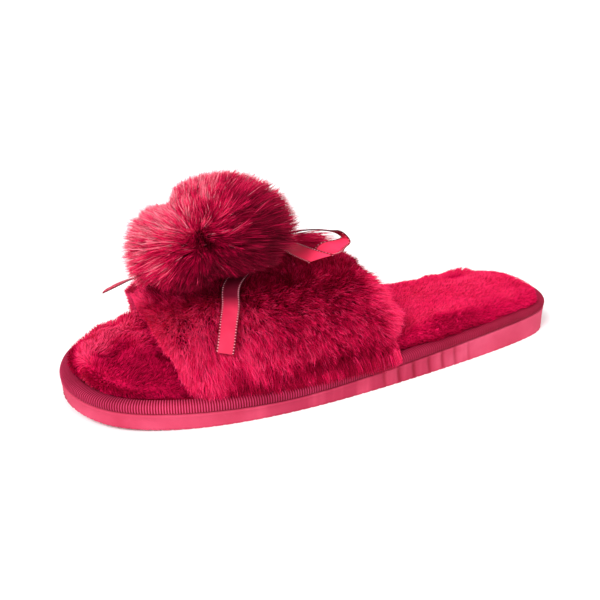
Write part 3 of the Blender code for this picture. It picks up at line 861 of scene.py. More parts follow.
def upperTones(tips, lock, hair, dice):
    shade, count = upper["shade"], len(tips)
    girth, side, lip, lie = (hair[key] for key in ("girth", "side", "lip", "lie"))
    amount, size = shade["cloud"]
    spread, calm = shade["single"]
    tones = shade["base"] + amount * roughField(tips, size, 3)
    tones += (spread - calm * lie) * dice.normal(size=count)
    tones += dice.normal(scale=shade["lock"], size=count)[lock]
    # painted light on the hem tips: heel hem, toe hem and medial toe hem
    tone, stop, over = shade["heelHem"]
    heelHem = tone * lip ** 2 * falling(girth, stop, over)
    tones += np.where(side > 0, shade["toeHem"] * hair["hem"], heelHem)
    tone, start, over = shade["farHem"]
    tones += tone * lip * (side > 0) * rising(girth, start, over)
    share, tone = shade["glints"]
    tones += tone * (dice.uniform(size=count) < share)
    # painted shade on the heel half, darker toward its top
    tone, start, over = shade["heelTop"]
    tones -= (tone * rising(tips[:, 2], start, over) + shade["heelHalf"]) * (side < 0)
    # painted light on the toe flank, where the hair lies flat
    tone, start, over = shade["lie"]
    tones += tone * lie * rising(hair["rise"], start, over)
    # painted shade toward the bottom, where the hair meets the tape
    low, under = shade["low"], shade["under"]
    foot = falling(tips[:, 2] - seamAt(tips[:, 0]), *low["rise"]) * falling(hair["band"], *low["band"])
    tones -= low["tone"] * foot * (1 + roughField(tips, low["cloud"], 14))
    # painted shadow below the pompom
    away = np.linalg.norm(tips[:, :2] - np.array(pompomPlace[:2]), axis=1)
    return tones - under["tone"] * falling(away, *under["reach"]) * rising(tips[:, 2], *under["height"])


def makeUpperFur(name, low, high, seed, fur):
    dice = np.random.default_rng(seed)
    band, girth, roots, rise = upperRoots(low, high, dice)
    normal, toe = clothAt(clothNormal, band, girth), clothAt(clothToe, band, girth)
    lying, far = upper["lie"], upper["farHem"]
    side = np.sign(band - 0.5)  # 1 on the toe half, -1 on the heel half
    lip = ease((np.abs(band - 0.5) - 0.5 + upper["lip"]) / upper["lip"])
    hem = rising(np.abs(band - 0.5), upper["hemFrom"], upper["hemFrom"])
    lie = rising(band, *lying["band"]) * falling(girth, *lying["girth"])
    hair = {"band": band, "girth": girth, "rise": rise, "side": side, "lip": lip, "hem": hem, "lie": lie}
    hemLean = np.where(side > 0, upper["hemLean"][1], upper["hemLean"][-1])
    hemLean *= np.where((side > 0) & (girth > far["from"]), far["lean"], 1)
    out = unit(normal * (1 - upper["lipDip"] * lip)[:, None] + toe * (side * hemLean * lip)[:, None])
    nap = upperNap(roots, normal, toe, hair, dice)
    start, over, shortest = upper["grown"]
    length = dice.uniform(*upper["length"], len(roots))
    length *= shortest + (1 - shortest) * rising(rise, start, over)
    heelHem = np.interp(girth, upper["heelHem"]["girths"], upper["heelHem"]["shares"])
    length *= 1 + lip * (np.where(side > 0, upper["toeHem"], heelHem) - 1)
    amount, size = upper["uneven"]
    length *= 1 + amount * roughField(roots, size, 2)
    length *= 1 + lying["longer"] * lie
    leaning = upper["lean"] * (1 + lying["lean"] * lie)
    lean = unit(nap) * (np.clip(np.linalg.norm(nap, axis=1), *upper["leanLimits"]) * leaning)[:, None]
    share, spread = upper["stand"]
    stand = share * (1 - lying["stand"] * lie) + spread * dice.normal(size=len(roots))
    tips = roots + length[:, None] * (out * stand[:, None] + lean)
    tips, lock = tufted(tips, *upper["tufts"], dice)
    tips += dice.normal(scale=upper["spread"], size=tips.shape)
    height = np.sum((tips - roots) * normal, axis=1)
    tips -= normal * np.maximum(0, height - upper["tops"])[:, None]
    tips[:, 2] = np.maximum(tips[:, 2], seamAt(tips[:, 0]) + upper["lowestTip"])
    up, along = upper["bend"]
    bends = roots + out * (up * length * stand)[:, None] + along * (tips - roots)
    tips, bends = hangOver(roots, tips, bends, hair, dice)
    tones = upperTones(tips, lock, hair, dice)
    widths = dice.uniform(*upper["width"], len(roots))
    mesh = strandMesh(name, "short", roots - normal * upper["rootDepth"], bends, tips, widths, tones, dice)
    addMesh(name, mesh, fur, ())


furBacking = backingMaterial("furBacking", upper["backing"])
makeUpper(furBacking)
print("upper cloth made")
crimsonFur = furMaterial("crimsonFur", upper["looks"])
for name, (low, high, seed) in upper["halves"].items():
    makeUpperFur(name, low, high, seed, crimsonFur)
print("upper fur grown")


# Insole: plush footbed with soft folds, and its pile

footbed = {
    "merge": 1e-6,  # in metres
    "voxel": 2.2,
    "relax": 6,
    "smooth": 0.5,
    "topRise": (4.0, 5.0),  # the folds fade in above this rise
    "lumps": [(0.9, 13.0, 4), (0.3, 6.0, 5)],  # height, size, seed
    "heelLumps": (0.5, 20.0),  # how much smoother the heel is, over what length
    "sink": 1.3,
    "swell": (0.7, 1.0),  # all over, above this rise
    "folds": [  # start x, y, end x, y, half width, rise
        (86, -34, 91, -34, 6.0, 7.5),
        (93, -34, 106, -33, 4.5, 2.0),
        (94, -30, 110, -24, 2.6, -2.4),
        (84, -29, 106, -18, 5.0, 2.4),
        (106, -18, 120, 4, 5.5, 2.8),
        (98, -10, 110, 2, 4.0, -4.2),
        (92, -12, 96, -8, 4.5, 1.6),
        (84, -5, 80, 14, 4.0, -3.4),
        (95, 8, 93, 22, 3.6, -2.8),
        (86, 26, 98, 24, 4.0, -2.4),
        (116, 10, 114, 24, 6.0, 1.2),
        (-56, -27, -70, -27, 7.0, -2.0),
        (-70, -27, -114, -19, 8.0, -2.0),
        (-76, -25, -74, -26, 3.4, 2.4),
        (-98, -22, -91, -24, 4.2, 3.4),
        (-88, -12, -83, -11, 4.0, -0.9),
        (-112, 8, -70, 22, 9.0, -1.2),
        (-104, -8, -60, -6, 10.0, 1.6),
        (-70, 24, -40, 27, 7.0, 1.6),
        (-57, 27, -60, 38, 2.8, -3.8),
        (-44, 30, -46, 42, 2.8, -2.6),
        (-76, 24, -80, 34, 3.0, -2.2),
    ],
    "shades": [  # the same for painted highlights and painted shade on the pile: lighter on ridges, darker in valleys, dimples, notches, along the tape and under the upper's hem
        (90, -38, 116, -26, 3.0, 0.14),
        (92, -31, 115, -21, 2.6, -0.34),
        (95, -26, 106, -18, 4.5, 0.38),
        (106, -18, 113, -8, 5.0, 0.54),
        (113, -8, 120, 5, 4.5, 0.42),
        (98, -9, 110, 3, 4.5, -0.50),
        (92, -13, 95, -9, 4.0, 0.20),
        (82, -24, 84, 6, 5.5, -0.30),
        (82, 10, 80, 36, 6.0, -0.26),
        (96, 8, 104, 34, 6.0, -0.12),
        (113, 4, 102, 20, 4.5, -0.22),
        (124, -12, 126, 12, 3.0, -0.40),
        (126, 12, 119, 27, 3.0, -0.40),
        (-88, -12, -83, -11, 3.6, -0.55),
        (-58, 30, -57, 40, 3.0, -0.50),
        (-24, 40, -27, 14, 5.0, -0.34),
        (-27, 14, -24, -24, 5.0, -0.16),
        (-104, -8, -82, -11, 5.0, 0.12),
    ],
    "overhang": {  # plush that bulges over the tape: along x from, to and fade, side, way out
        "zones": [(-106.0, -22.0, 14.0, 1, 4.4), (-134.0, -112.0, 14.0, 1, 2.0),
                  (82.0, 96.0, 12.0, -1, 6.0), (118.0, 132.0, 8.0, -1, 2.6)],
        "side": (-6.0, 16.0), "rise": (4.2, 1.4), "across": (18.0, 9.0)},  # start or stop, fade
    "backing": {
        "sockets": {"Roughness": 0.95, "Specular IOR Level": 0.06},
        "cloud": (160.0, 4.0),
        "stops": [(0.3, (0.50, 0.002, 0.050)), (0.7, (0.70, 0.006, 0.080))],
        "bump": (0.7, 0.001),
    },
}
pile = {
    "strands": 62000,
    "seed": 23,
    "lowestRoot": 2.6,
    "steepest": -0.8,
    "thin": (-4.0, 68.0, 0.4),  # under the upper: from, to, share of the pile
    "rootDepth": 0.3,
    "length": (1.9, 2.9),
    "uneven": (0.25, 7.0),
    "toeLonger": (0.5, -24.0, 24.0),
    "width": (0.22, 0.40),
    "stand": 0.72,
    "lean": 0.5,
    "bend": (0.32, 0.22),
    "tufts": (2.2, 0.3, 0.02),
    "spread": 0.2,
    "lowestTip": (7.5, 5.3, 4.0),  # inset of the tape, lowest rise over it and further in
    "heelward": (20.0, 30.0),
    "toeward": (50.0, 40.0),
    "nap": {"size": 11.0, "stray": (0.85, 0.4), "comb": (-1.0, 0.25, 0.0), "combed": 0.35},
    "shade": {
        "base": 0.68,
        "heel": 0.05,
        "toe": (0.07, 0.29),  # painted shade: darker toe, and more so on the near side
        "nearSide": (-22.0, 40.0),
        # painted light and shade that follow the folds: lighter on ridges, darker in valleys
        "folds": 0.04,
        "cloud": (0.08, 12.0),
        "streaks": (0.10, (0.3, 1.0, 1.0), 3.2),  # along the heel
        "single": (0.06, 0.06),
        # painted shade along the heel's near edge, deepest by the tape
        "heelEdgeShade": {"tone": (0.64, 0.36), "from": (-4.0, 12.0), "less": (0.7, -58.0, 24.0),
                     "side": (6.0, 10.0), "inset": (13.0, 6.0), "wave": (3.0, 8.0), "deep": (9.0, 5.0)},
        # painted shade in the gap between the toe's plush and the tape
        "toeEdgeShade": {"tone": 0.5, "inset": (9.8, 1.8), "from": (96.0, 10.0), "side": (-24.0, 10.0)},
    },
    "looks": {
        "sockets": {"Roughness": 0.65, "Specular IOR Level": 0.04},
        "tones": [(0.0, (0.42, 0.0006, 0.036)), (0.35, (0.72, 0.003, 0.078)), (0.65, (0.94, 0.022, 0.130)),
                  (1.0, (1.0, 0.060, 0.185))],
        # painted shade down among the hairs, darker toward the roots
        "depth": [(0.0, (0.50, 0.44, 0.46)), (0.5, (0.84, 0.80, 0.82)), (1.0, (1.0, 1.0, 1.0))],
    },
}


def softLines(points, lines):
    # sum of soft lines over the footbed
    total = np.zeros(len(points))
    for x0, y0, x1, y1, width, amount in lines:
        start, way = np.array((x0, y0)), np.array((x1 - x0, y1 - y0))
        along = np.clip(((points[:, :2] - start) @ way) / (way @ way), 0, 1)
        off = np.linalg.norm(points[:, :2] - start - along[:, None] * way, axis=1)
        total += amount * np.exp(-(off / width) ** 2)
    return total


def nearestEdge(points):
    # distance in from the sole's outline, and the way outwards
    search = KDTree(len(outlineFine))
    for k, spot in enumerate(outlineFine):
        search.insert((*spot, 0), k)
    search.balance()
    found = [search.find((x, y, 0)) for x, y, z in points]
    return np.array([hit[2] for hit in found]), -inwardFine[[hit[1] for hit in found]]


def overhangAt(points, inset):
    # how far the plush bulges outwards
    hang = footbed["overhang"]
    x, y, rise = points[:, 0], points[:, 1], points[:, 2] - seamAt(points[:, 0])
    out = np.zeros(len(points))
    for low, high, fade, side, reach in hang["zones"]:
        window = ease((x - low) / fade + 1) * ease((high - x) / fade + 1)
        out += reach * window * rising(side * y, *hang["side"])
    return out * falling(inset, *hang["across"]) * rising(rise, *hang["rise"])


def makeFootbed():
    bm = bmesh.new()
    bm.from_mesh(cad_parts["insole"].data)
    bmesh.ops.remove_doubles(bm, verts=bm.verts[:], dist=footbed["merge"])
    plain = bpy.data.meshes.new("footbedStart")
    bm.to_mesh(plain)
    bm.free()
    holder = bpy.data.objects.new("footbedStart", plain)
    scene.collection.objects.link(holder)
    grid = holder.modifiers.new("grid", "REMESH")
    grid.mode = "VOXEL"
    grid.voxel_size = footbed["voxel"] * mm
    relax = holder.modifiers.new("relax", "SMOOTH")
    relax.iterations = footbed["relax"]
    shaped = bpy.data.meshes.new_from_object(holder.evaluated_get(bpy.context.evaluated_depsgraph_get()))
    bpy.data.objects.remove(holder)
    bm = bmesh.new()
    bm.from_mesh(shaped)
    bmesh.ops.scale(bm, vec=(1 / mm,) * 3, verts=bm.verts[:])
    bmesh.ops.translate(bm, vec=(0, -yShift, 0), verts=bm.verts[:])
    points = np.array([v.co for v in bm.verts])
    rise = points[:, 2] - seamAt(points[:, 0])
    top = rising(rise, *footbed["topRise"])
    lumps = sum(height * roughField(points, size, seed) for height, size, seed in footbed["lumps"])
    less, over = footbed["heelLumps"]
    lumps *= 1 - less * falling(points[:, 0], 0.0, over)
    move = top * (softLines(points, footbed["folds"]) + lumps - footbed["sink"])
    inset, outward = nearestEdge(points)
    out = overhangAt(points, inset)
    for vert, step, bulge in zip(bm.verts, move, outward * out[:, None]):
        vert.co += Vector((*bulge, step))
    bmesh.ops.smooth_vert(bm, verts=bm.verts[:], factor=footbed["smooth"],
                          use_axis_x=True, use_axis_y=True, use_axis_z=True)
    bm.normal_update()
    swell, above = footbed["swell"]
    for vert in bm.verts:
        vert.co += vert.normal * swell * (vert.co.z > seamAt(vert.co.x) + above)
    bm.normal_update()
    backing = backingMaterial("plushBacking", footbed["backing"])
    piece = addPiece("footbed", bm, backing, ["insole"])
    return piece


def scatter(mesh, count, dice):
    # even random points on a mesh with their smooth normals, in the tables' millimetres
    mesh.calc_loop_triangles()
    verts = np.empty(len(mesh.vertices) * 3)
    mesh.vertices.foreach_get("co", verts)
    verts = verts.reshape(-1, 3) / mm - (0, yShift, 0)
    normals = np.empty(len(mesh.vertices) * 3)
    mesh.vertices.foreach_get("normal", normals)
    normals = normals.reshape(-1, 3)
    tris = np.empty(len(mesh.loop_triangles) * 3, np.int32)
    mesh.loop_triangles.foreach_get("vertices", tris)
    tris = tris.reshape(-1, 3)
    a, b, c = (verts[tris[:, k]] for k in range(3))
    area = np.linalg.norm(np.cross(b - a, c - a), axis=1)
    pick = dice.choice(len(tris), count, p=area / area.sum())
    s, t = dice.uniform(size=count), dice.uniform(size=count)
    flip = s + t > 1
    s, t = np.where(flip, 1 - s, s)[:, None], np.where(flip, 1 - t, t)[:, None]
    corner = [tris[pick, k] for k in range(3)]
    points = verts[corner[0]] * (1 - s - t) + verts[corner[1]] * s + verts[corner[2]] * t
    return points, unit(normals[corner[0]] * (1 - s - t) + normals[corner[1]] * s + normals[corner[2]] * t)


def pileTones(roots, tips, inset, heelward, toeward, dice):
    shade = pile["shade"]
    x, y = roots[:, 0], roots[:, 1]
    nearSide = rising(y, *shade["nearSide"])
    # painted shade along the heel's near edge, deepest by the tape
    edge = shade["heelEdgeShade"]
    less, stop, over = edge["less"]
    heelEdgeShade = falling(x, *edge["from"]) * (1 - less * falling(x, stop, over)) * rising(y, *edge["side"])
    wave, size = edge["wave"]
    stop, over = edge["inset"]
    heelEdgeShade *= falling(inset, stop + wave * roughField(roots, size, 13), over)
    heelEdgeShade *= edge["tone"][0] + edge["tone"][1] * falling(inset, *edge["deep"])
    # painted shade in the gap between the toe's plush and the tape
    edge = shade["toeEdgeShade"]
    toeEdgeShade = falling(inset, *edge["inset"]) * rising(x, *edge["from"]) * rising(y, *edge["side"])
    # painted shade at the toe, more on the near side
    dark, nearDark = shade["toe"]
    tones = shade["base"] - shade["heel"] * heelward - (dark + nearDark * nearSide) * toeward - heelEdgeShade
    # painted highlights and painted shade on the pile, listed and following the folds
    tones += softLines(roots, footbed["shades"]) + shade["folds"] * softLines(roots, footbed["folds"])
    amount, size = shade["cloud"]
    tones += amount * roughField(tips, size, 8) - edge["tone"] * toeEdgeShade
    amount, stretch, size = shade["streaks"]
    tones += amount * heelward * roughField(tips * stretch, size, 15)
    spread, more = shade["single"]
    return tones + (spread + more * toeward * nearSide) * dice.normal(size=len(roots))


def makePile(piece):
    dice = np.random.default_rng(pile["seed"])
    roots, normal = scatter(piece.data, pile["strands"] * 3, dice)
    rise = roots[:, 2] - seamAt(roots[:, 0])
    start, stop, share = pile["thin"]
    hidden = (roots[:, 0] > start) & (roots[:, 0] < stop)
    keep = (rise > pile["lowestRoot"]) & (normal[:, 2] > pile["steepest"])
    keep &= ~(hidden & (dice.uniform(size=len(roots)) > share))
    keep = np.flatnonzero(keep)[:pile["strands"]]
    roots, normal = roots[keep], normal[keep]
    inset = nearestEdge(roots)[0]
    heelward = falling(roots[:, 0], *pile["heelward"])
    toeward = rising(roots[:, 0], *pile["toeward"])
    nap = pile["nap"]
    way, comb = roughWays(roots, nap["size"], 6), np.array(nap["comb"])
    stray, calm = nap["stray"]
    lean = (way - normal * np.sum(way * normal, axis=1)[:, None]) * (stray - calm * heelward)[:, None]
    lean += nap["combed"] * (comb - normal * (normal @ comb)[:, None])
    amount, size = pile["uneven"]
    length = dice.uniform(*pile["length"], len(roots)) * (1 + amount * roughField(roots, size, 7))
    longer, start, over = pile["toeLonger"]
    length *= 1 + longer * toeward * rising(roots[:, 1], start, over)
    tips = roots + length[:, None] * (normal * pile["stand"] + unit(lean) * pile["lean"])
    tips = tufted(tips, *pile["tufts"], dice)[0]
    tips += dice.normal(scale=pile["spread"], size=tips.shape)
    tape, overTape, inside = pile["lowestTip"]
    tips[:, 2] = np.maximum(tips[:, 2], seamAt(tips[:, 0]) + np.where(inset < tape, overTape, inside))
    up, along = pile["bend"]
    bends = roots + normal * (up * length)[:, None] + along * (tips - roots)
    tones = pileTones(roots, tips, inset, heelward, toeward, dice)
    widths = dice.uniform(*pile["width"], len(roots))
    roots = roots - normal * pile["rootDepth"]
    mesh = strandMesh("footbed_pile", "short", roots, bends, tips, widths, tones, dice)
    addMesh("footbed_pile", mesh, furMaterial("rosePlush", pile["looks"]), ())


makePile(makeFootbed())
print("footbed and pile made")


# Ribbon bow: satin strips laid over the fur, with stitched edges

bow = {
    "width": 8.2,
    "flatWidth": 0.010,  # in metres
    "thick": 0.4,
    "furTip": 8.0,
    "stepsPerFold": 14,
    "acrossSteps": 8,
    "curl": 0.2,
    "curlSeat": 0.4,
    "alongLead": 0.1,  # strips that run this much further along the band have their width on the girth
    "stitchPitch": 1.3,
    "stitchStart": 0.5,
    "stitchInset": 0.6,
    "stitchLift": 0.6,  # share of the curl at the row of stitches
    "stitchSize": (0.25, 0.42, 0.22),
    "shades": {  # painted shade: places along a strip and how dark, under the pompom's fur and on the turned-back part
        "ribbon_heel_loop": ((0.14, 0.26, 0.57, 0.65), (0.4, 0.0, 0.0, 1.0)),
        "ribbon_near_tail": ((0.34, 0.40, 0.48), (1.0, 0.6, 0.0))},
    # two copies of one satin: the loop's is painted lighter, as painted light where the pompom shades it
    "satins": {"satinLoop": [(0.3, (0.82, 0.025, 0.082)), (0.7, (0.98, 0.052, 0.130))],
               "satinTails": [(0.3, (0.49, 0.015, 0.052)), (0.7, (0.61, 0.032, 0.082))]},
    "satinLooks": {
        "sockets": {"Roughness": 0.45, "Specular IOR Level": 0.06, "Anisotropic": 0.5},
        "cloud": (70.0, 2.0),
        "edge": [(0.72, (1.0, 1.0, 1.0)), (0.84, (0.28, 0.16, 0.20))],
        # painted shade along a strip
        "dark": [(0.0, (1.0, 1.0, 1.0)), (1.0, (0.18, 0.12, 0.18))],
        "weave": (3000.0, 1.0),
        "bump": (0.15, 0.0001),
    },
    "threadLooks": {
        "sockets": {"Roughness": 0.5, "Specular IOR Level": 0.3},
        "cloud": (400.0, 2.0),
        "stops": [(0.3, (0.78, 0.16, 0.24)), (0.7, (0.90, 0.33, 0.40))],
    },
    "knot": {"band": 0.47, "girth": 0.48, "size": (13.0, 11.0, 4.4), "round": 1.6, "roundSteps": 4,
             "seat": 0.5},
    "heelStrand": [  # its medial and its lateral edge, from the knot to the fold
        ((36.0, -16.0, 57.0), (36.0, -8.0, 57.5)), ((22.0, -19.0, 59.0), (27.0, -12.5, 58.5)),
        ((12.5, -7.5, 60.5), (21.5, -4.5, 59.5)), ((10.0, 3.0, 61.5), (19.0, 5.0, 59.0)),
        ((7.5, 12.0, 62.0), (16.0, 10.5, 58.0)), ((3.5, 20.0, 62.0), (14.0, 13.5, 57.5))],
    "heelLoop": [  # the same edges, from the fold round the loop and back
        ((3.0, 19.0, 61.5), (13.5, 12.5, 57.0)), ((-2.0, 17.5, 61.5), (6.0, 6.5, 62.5)),
        ((-4.0, 18.0, 64.0), (0.0, 8.5, 64.5)), ((-6.0, 18.0, 66.5), (-5.0, 9.5, 65.5)),
        ((-3.0, 15.5, 70.5), (-5.0, 8.5, 66.5)), ((1.0, 13.0, 71.0), (-2.0, 6.0, 68.0)),
        ((7.5, 8.5, 71.0), (4.5, 1.5, 68.5)), ((14.5, 4.5, 70.0), (11.5, -2.5, 67.5)),
        ((23.0, -0.5, 66.5), (21.0, -8.0, 64.0)), ((32.5, 0.0, 59.5), (32.5, -8.5, 59.5))],
    "laid": {  # place on the band, on the girth, lift above the fur
        "ribbon_medial_loop": [(0.46, 0.47, 2.5), (0.52, 0.58, 2.3), (0.57, 0.67, 2.2), (0.60, 0.745, 2.6),
                               (0.61, 0.783, 4.2), (0.61, 0.785, 6.9), (0.60, 0.755, 7.6), (0.58, 0.695, 3.7),
                               (0.52, 0.58, 3.4), (0.46, 0.47, 3.7)],
        "ribbon_near_tail": [(0.47, 0.49, 1.0), (0.625, 0.385, 1.6), (0.682, 0.319, 0.6), (0.736, 0.263, 1.3),
                             (0.783, 0.217, 1.2), (0.815, 0.185, 0.8)],
        "ribbon_far_tail": [(0.44, 0.48, 1.6), (0.72, 0.56, 0.9), (0.90, 0.61, 1.2), (1.01, 0.622, 1.7),
                            (1.074, 0.60, 1.8), (1.123, 0.608, 0.9)],
    },
    "twists": {"ribbon_far_tail": 10.0},  # turned about its own line, in degrees
}


def throughAll(points):
    # smooth line through the points, in even steps of its knots
    knots = np.arange(len(points))
    fine = np.linspace(0, len(points) - 1, bow["stepsPerFold"] * (len(points) - 1) + 1)
    return np.column_stack([curveThrough(knots, points[:, k])(fine) for k in range(3)])


def loopLine():
    edges = [[throughAll(np.array([pair[k] for pair in bow[part]])) for part in ("heelStrand", "heelLoop")]
             for k in (0, 1)]
    first, second = (np.vstack(parts) for parts in edges)
    path = 0.5 * (first + second)
    width = unit(first - second)
    half = 0.5 * np.linalg.norm(first - second, axis=1)
    return path, width, unit(np.cross(np.gradient(path, axis=0), width)), half


def laidLine(folds, twist):
    # centre, width way and face way along a strip laid on the fur
    band, girth, lift = np.array(folds, float).T
    lift = (bow["furTip"] + lift)[:, None]
    centres = clothAt(clothGrid, band, girth) + clothAt(clothNormal, band, girth) * lift
    path, guide = throughAll(centres), throughAll(clothAt(clothToe, band, girth))
    if abs(band[-1] - band[0]) > abs(girth[-1] - girth[0]) + bow["alongLead"]:
        guide = throughAll(clothAt(clothAcross, band, girth))
    tangent = unit(np.gradient(path, axis=0))
    width = unit(guide - tangent * np.sum(guide * tangent, axis=1)[:, None])
    width = width * math.cos(twist) + np.cross(tangent, width) * math.sin(twist)
    return path, width, np.cross(tangent, width), np.full(len(path), 0.5 * bow["width"])


def makeStrip(name, path, width, face, half, material):
    bm = bmesh.new()
    bmesh.ops.create_grid(bm, x_segments=len(path) - 1, y_segments=bow["acrossSteps"], size=0.5)
    edge, dark = bm.verts.layers.float.new("edgeShare"), bm.verts.layers.float.new("paintedShadeShare")
    # painted shade at places along the strip
    places, shares = bow["shades"].get(name, ((0.0, 1.0), (0.0, 0.0)))
    for vert in bm.verts:
        vert[dark] = float(np.interp(vert.co.x + 0.5, places, shares))
        k = int(round((vert.co.x + 0.5) * (len(path) - 1)))
        side = 2 * vert.co.y
        vert[edge] = abs(side)
        arch = side * side - bow["curlSeat"]
        vert.co = path[k] + width[k] * (half[k] * side) + face[k] * bow["curl"] * arch
    bm.normal_update()
    piece = addPiece(name, bm, material, ["ribbon_bow"])
    wall = piece.modifiers.new("wall", "SOLIDIFY")
    wall.thickness = bow["thick"] * mm
    wall.offset = 0


def satinMaterial(name, stops):
    looks = bow["satinLooks"]
    material, tree, shader = newMaterial(name, looks["sockets"])
    place = objectPlace(tree)
    colour = addRamp(tree, addCloud(tree, place, *looks["cloud"]), stops)
    colour = addTint(tree, colour, "edgeShare", looks["edge"])
    # painted shade under the pompom's fur and on the turned-back part
    colour = addTint(tree, colour, "paintedShadeShare", looks["dark"])
    tree.links.new(colour, shader.inputs["Base Color"])
    addBump(tree, shader, addCloud(tree, place, *looks["weave"]), *looks["bump"])
    return material


def threadMaterial():
    looks = bow["threadLooks"]
    material, tree, shader = newMaterial("paleThread", looks["sockets"])
    tint = addRamp(tree, addCloud(tree, objectPlace(tree), *looks["cloud"]), looks["stops"])
    tree.links.new(tint, shader.inputs["Base Color"])
    return material


def stitchRows(bm, path, width, face, half):
    # beads along both edges and on both faces
    run = np.concatenate(([0], np.cumsum(np.linalg.norm(np.diff(path, axis=0), axis=1))))
    size = Matrix.Diagonal((*bow["stitchSize"], 1))
    for place in np.arange(bow["stitchStart"], run[-1], bow["stitchPitch"]):
        k = int(np.searchsorted(run, place)) - 1
        centre = path[k] + (path[k + 1] - path[k]) * (place - run[k]) / max(run[k + 1] - run[k], 1e-6)
        axes = Matrix(np.column_stack((unit(path[k + 1] - path[k]), width[k], face[k])).tolist()).to_4x4()
        for side in (-1, 1):
            for lift in (-1, 1):
                spot = (centre + width[k] * side * (half[k] - bow["stitchInset"])
                        + face[k] * (bow["stitchLift"] * bow["curl"] + lift * 0.5 * bow["thick"]))
                bmesh.ops.create_icosphere(bm, subdivisions=1, radius=1,
                                           matrix=Matrix.Translation(Vector(spot)) @ axes @ size)


def makeBow():
    satins = {name: satinMaterial(name, stops) for name, stops in bow["satins"].items()}
    lines = {"ribbon_heel_loop": loopLine()}
    for name, folds in bow["laid"].items():
        lines[name] = laidLine(folds, math.radians(bow["twists"].get(name, 0.0)))
    stitches = bmesh.new()
    for name, (path, width, face, half) in lines.items():
        # the loop takes the satin painted lighter
        satin = satins["satinLoop" if name == "ribbon_heel_loop" else "satinTails"]
        makeStrip(name, path, width, face, half, satin)
        stitchRows(stitches, path, width, face, half)
    addPiece("ribbon_stitches", stitches, threadMaterial(), ())
    makeKnot(satins["satinTails"])


def makeKnot(satin):
    knot = bow["knot"]
    band, girth = knot["band"], knot["girth"]
    normal, toe = clothAt(clothNormal, band, girth), clothAt(clothToe, band, girth)
    centre = clothAt(clothGrid, band, girth) + normal * (bow["furTip"] + knot["seat"] + 0.5 * knot["size"][2])
    axes = Matrix(np.column_stack((toe, np.cross(normal, toe), normal)).tolist()).to_4x4()
    bm = bmesh.new()
    bmesh.ops.create_cube(bm, size=1)
    bmesh.ops.scale(bm, vec=knot["size"], verts=bm.verts[:])
    bmesh.ops.bevel(bm, geom=bm.edges[:], offset=knot["round"], segments=knot["roundSteps"], profile=0.5,
                    affect="EDGES", material=-1)
    bmesh.ops.transform(bm, matrix=Matrix.Translation(Vector(centre)) @ axes, verts=bm.verts[:])
    addPiece("ribbon_knot", bm, satin, ["ribbon_bow"])


makeBow()
print("ribbon bow made")


# Pompom: fur swept away from a whorl on its lateral face, into two lobes

pompom = {
    "centre": pompomPlace,
    "lobes": [(47.5, -2.0, 74.0, 69.0, 70.0, 53.0), (74.0, -2.0, 64.6, 45.0, 62.0, 50.0)],  # middle, size
    "blend": 14.0,
    "notch": {"way": (0.55, -0.58, 0.60), "along": (0.38, 0.81, 0.45), "wide": 0.13, "long": 0.6,
              "deep": 0.24},  # parting between the lobes
    "under": {"trim": 0.15, "down": (0.15, 0.35), "lateral": (-0.1, 0.4)},  # shorter above the near tail
    "restSteps": (30, 60),
    "restBelow": 0.1,  # only ways lower than this meet the upper's fur
    "clear": 2.4,
    "slant": 0.35,
    "core": 0.70,
    "coreSteps": 5,
    "whorl": (0.425, 0.913, 0.221),
    "layers": {  # kind, strands, sweep from the whorl, root depth, tip reach, width, seed
        "pompom_fur": ("short", 56000, 0.50, (0.58, 0.84), (0.84, 1.0), (0.18, 0.36), 37),
        "pompom_wisps": ("long", 15000, 0.7, (0.60, 0.84), (0.92, 1.02), (0.20, 0.38), 38),
    },
    "tail": {"strands": 4200, "from": (20.0, -16.0, 57.0), "spread": (5.0, 3.0, 1.2),
             "way": (-1.0, 0.36, 0.02), "fan": 0.10, "length": (11.0, 25.0), "arch": (0, 0, 2.0),
             "tones": (0.46, 0.2), "width": (0.22, 0.40), "seed": 39},
    "tufts": (5.0, 0.50, 0.05),  # size, pull, share of tips that start a lock
    "lockReach": 0.020,  # locks of unlike lengths
    "spread": 0.5,
    "bare": (26.0, -12.0, 66.5),  # no hair behind, beside and below this, where the ribbon's loop shows
    "stray": (0.28, 9.0),
    "uneven": (0.5, 16.0),
    "bend": 0.16,
    "nearWay": (0.38, 0.81, 0.45),
    "shade": {
        "base": 0.44,
        "lock": 0.15,
        "cloud": (0.14, 12.0),
        "single": 0.15,
        "glints": (0.02, 0.5),  # share of pale hairs, how much lighter
        # painted highlight on hair that faces the light's way, kept mostly to the near half
        "half": (-0.65, 0.4),  # the far half keeps little of the pale tones
        "pale": {"way": (0.42, -0.50, 0.66), "tone": 0.50, "limits": (-0.7, 1), "far": 0.3},
        "rimLight": (0.28, 0.25, 0.35),  # painted rim light: lighter where the hair turns away from the near side
        # painted light on the toe side, painted shade on the heel side and underneath
        "toe": (0.12, 0.3, 0.5),
        "heel": (0.18, -0.1, 0.5),
        "low": (0.10, -0.1, 0.4),
        "dark": {"way": (-0.25, 0.96, -0.10), "tone": 0.07, "from": (0.55, 0.35)},  # painted shade beside the whorl
    },
    "looks": {
        "sockets": {"Roughness": 0.5, "Specular IOR Level": 0.05},
        "tones": [(0.0, (0.14, 0.0004, 0.013)), (0.35, (0.50, 0.0014, 0.046)), (0.62, (0.88, 0.007, 0.094)),
                  (0.82, (0.98, 0.055, 0.160)), (1.0, (1.0, 0.280, 0.360))],
        # painted shade down among the hairs, darker toward the roots
        "depth": [(0.0, (0.18, 0.12, 0.13)), (0.45, (0.64, 0.60, 0.62)), (1.0, (1.0, 1.0, 1.0))],
    },
}


def wayTo(direction):
    return unit(np.array(direction))


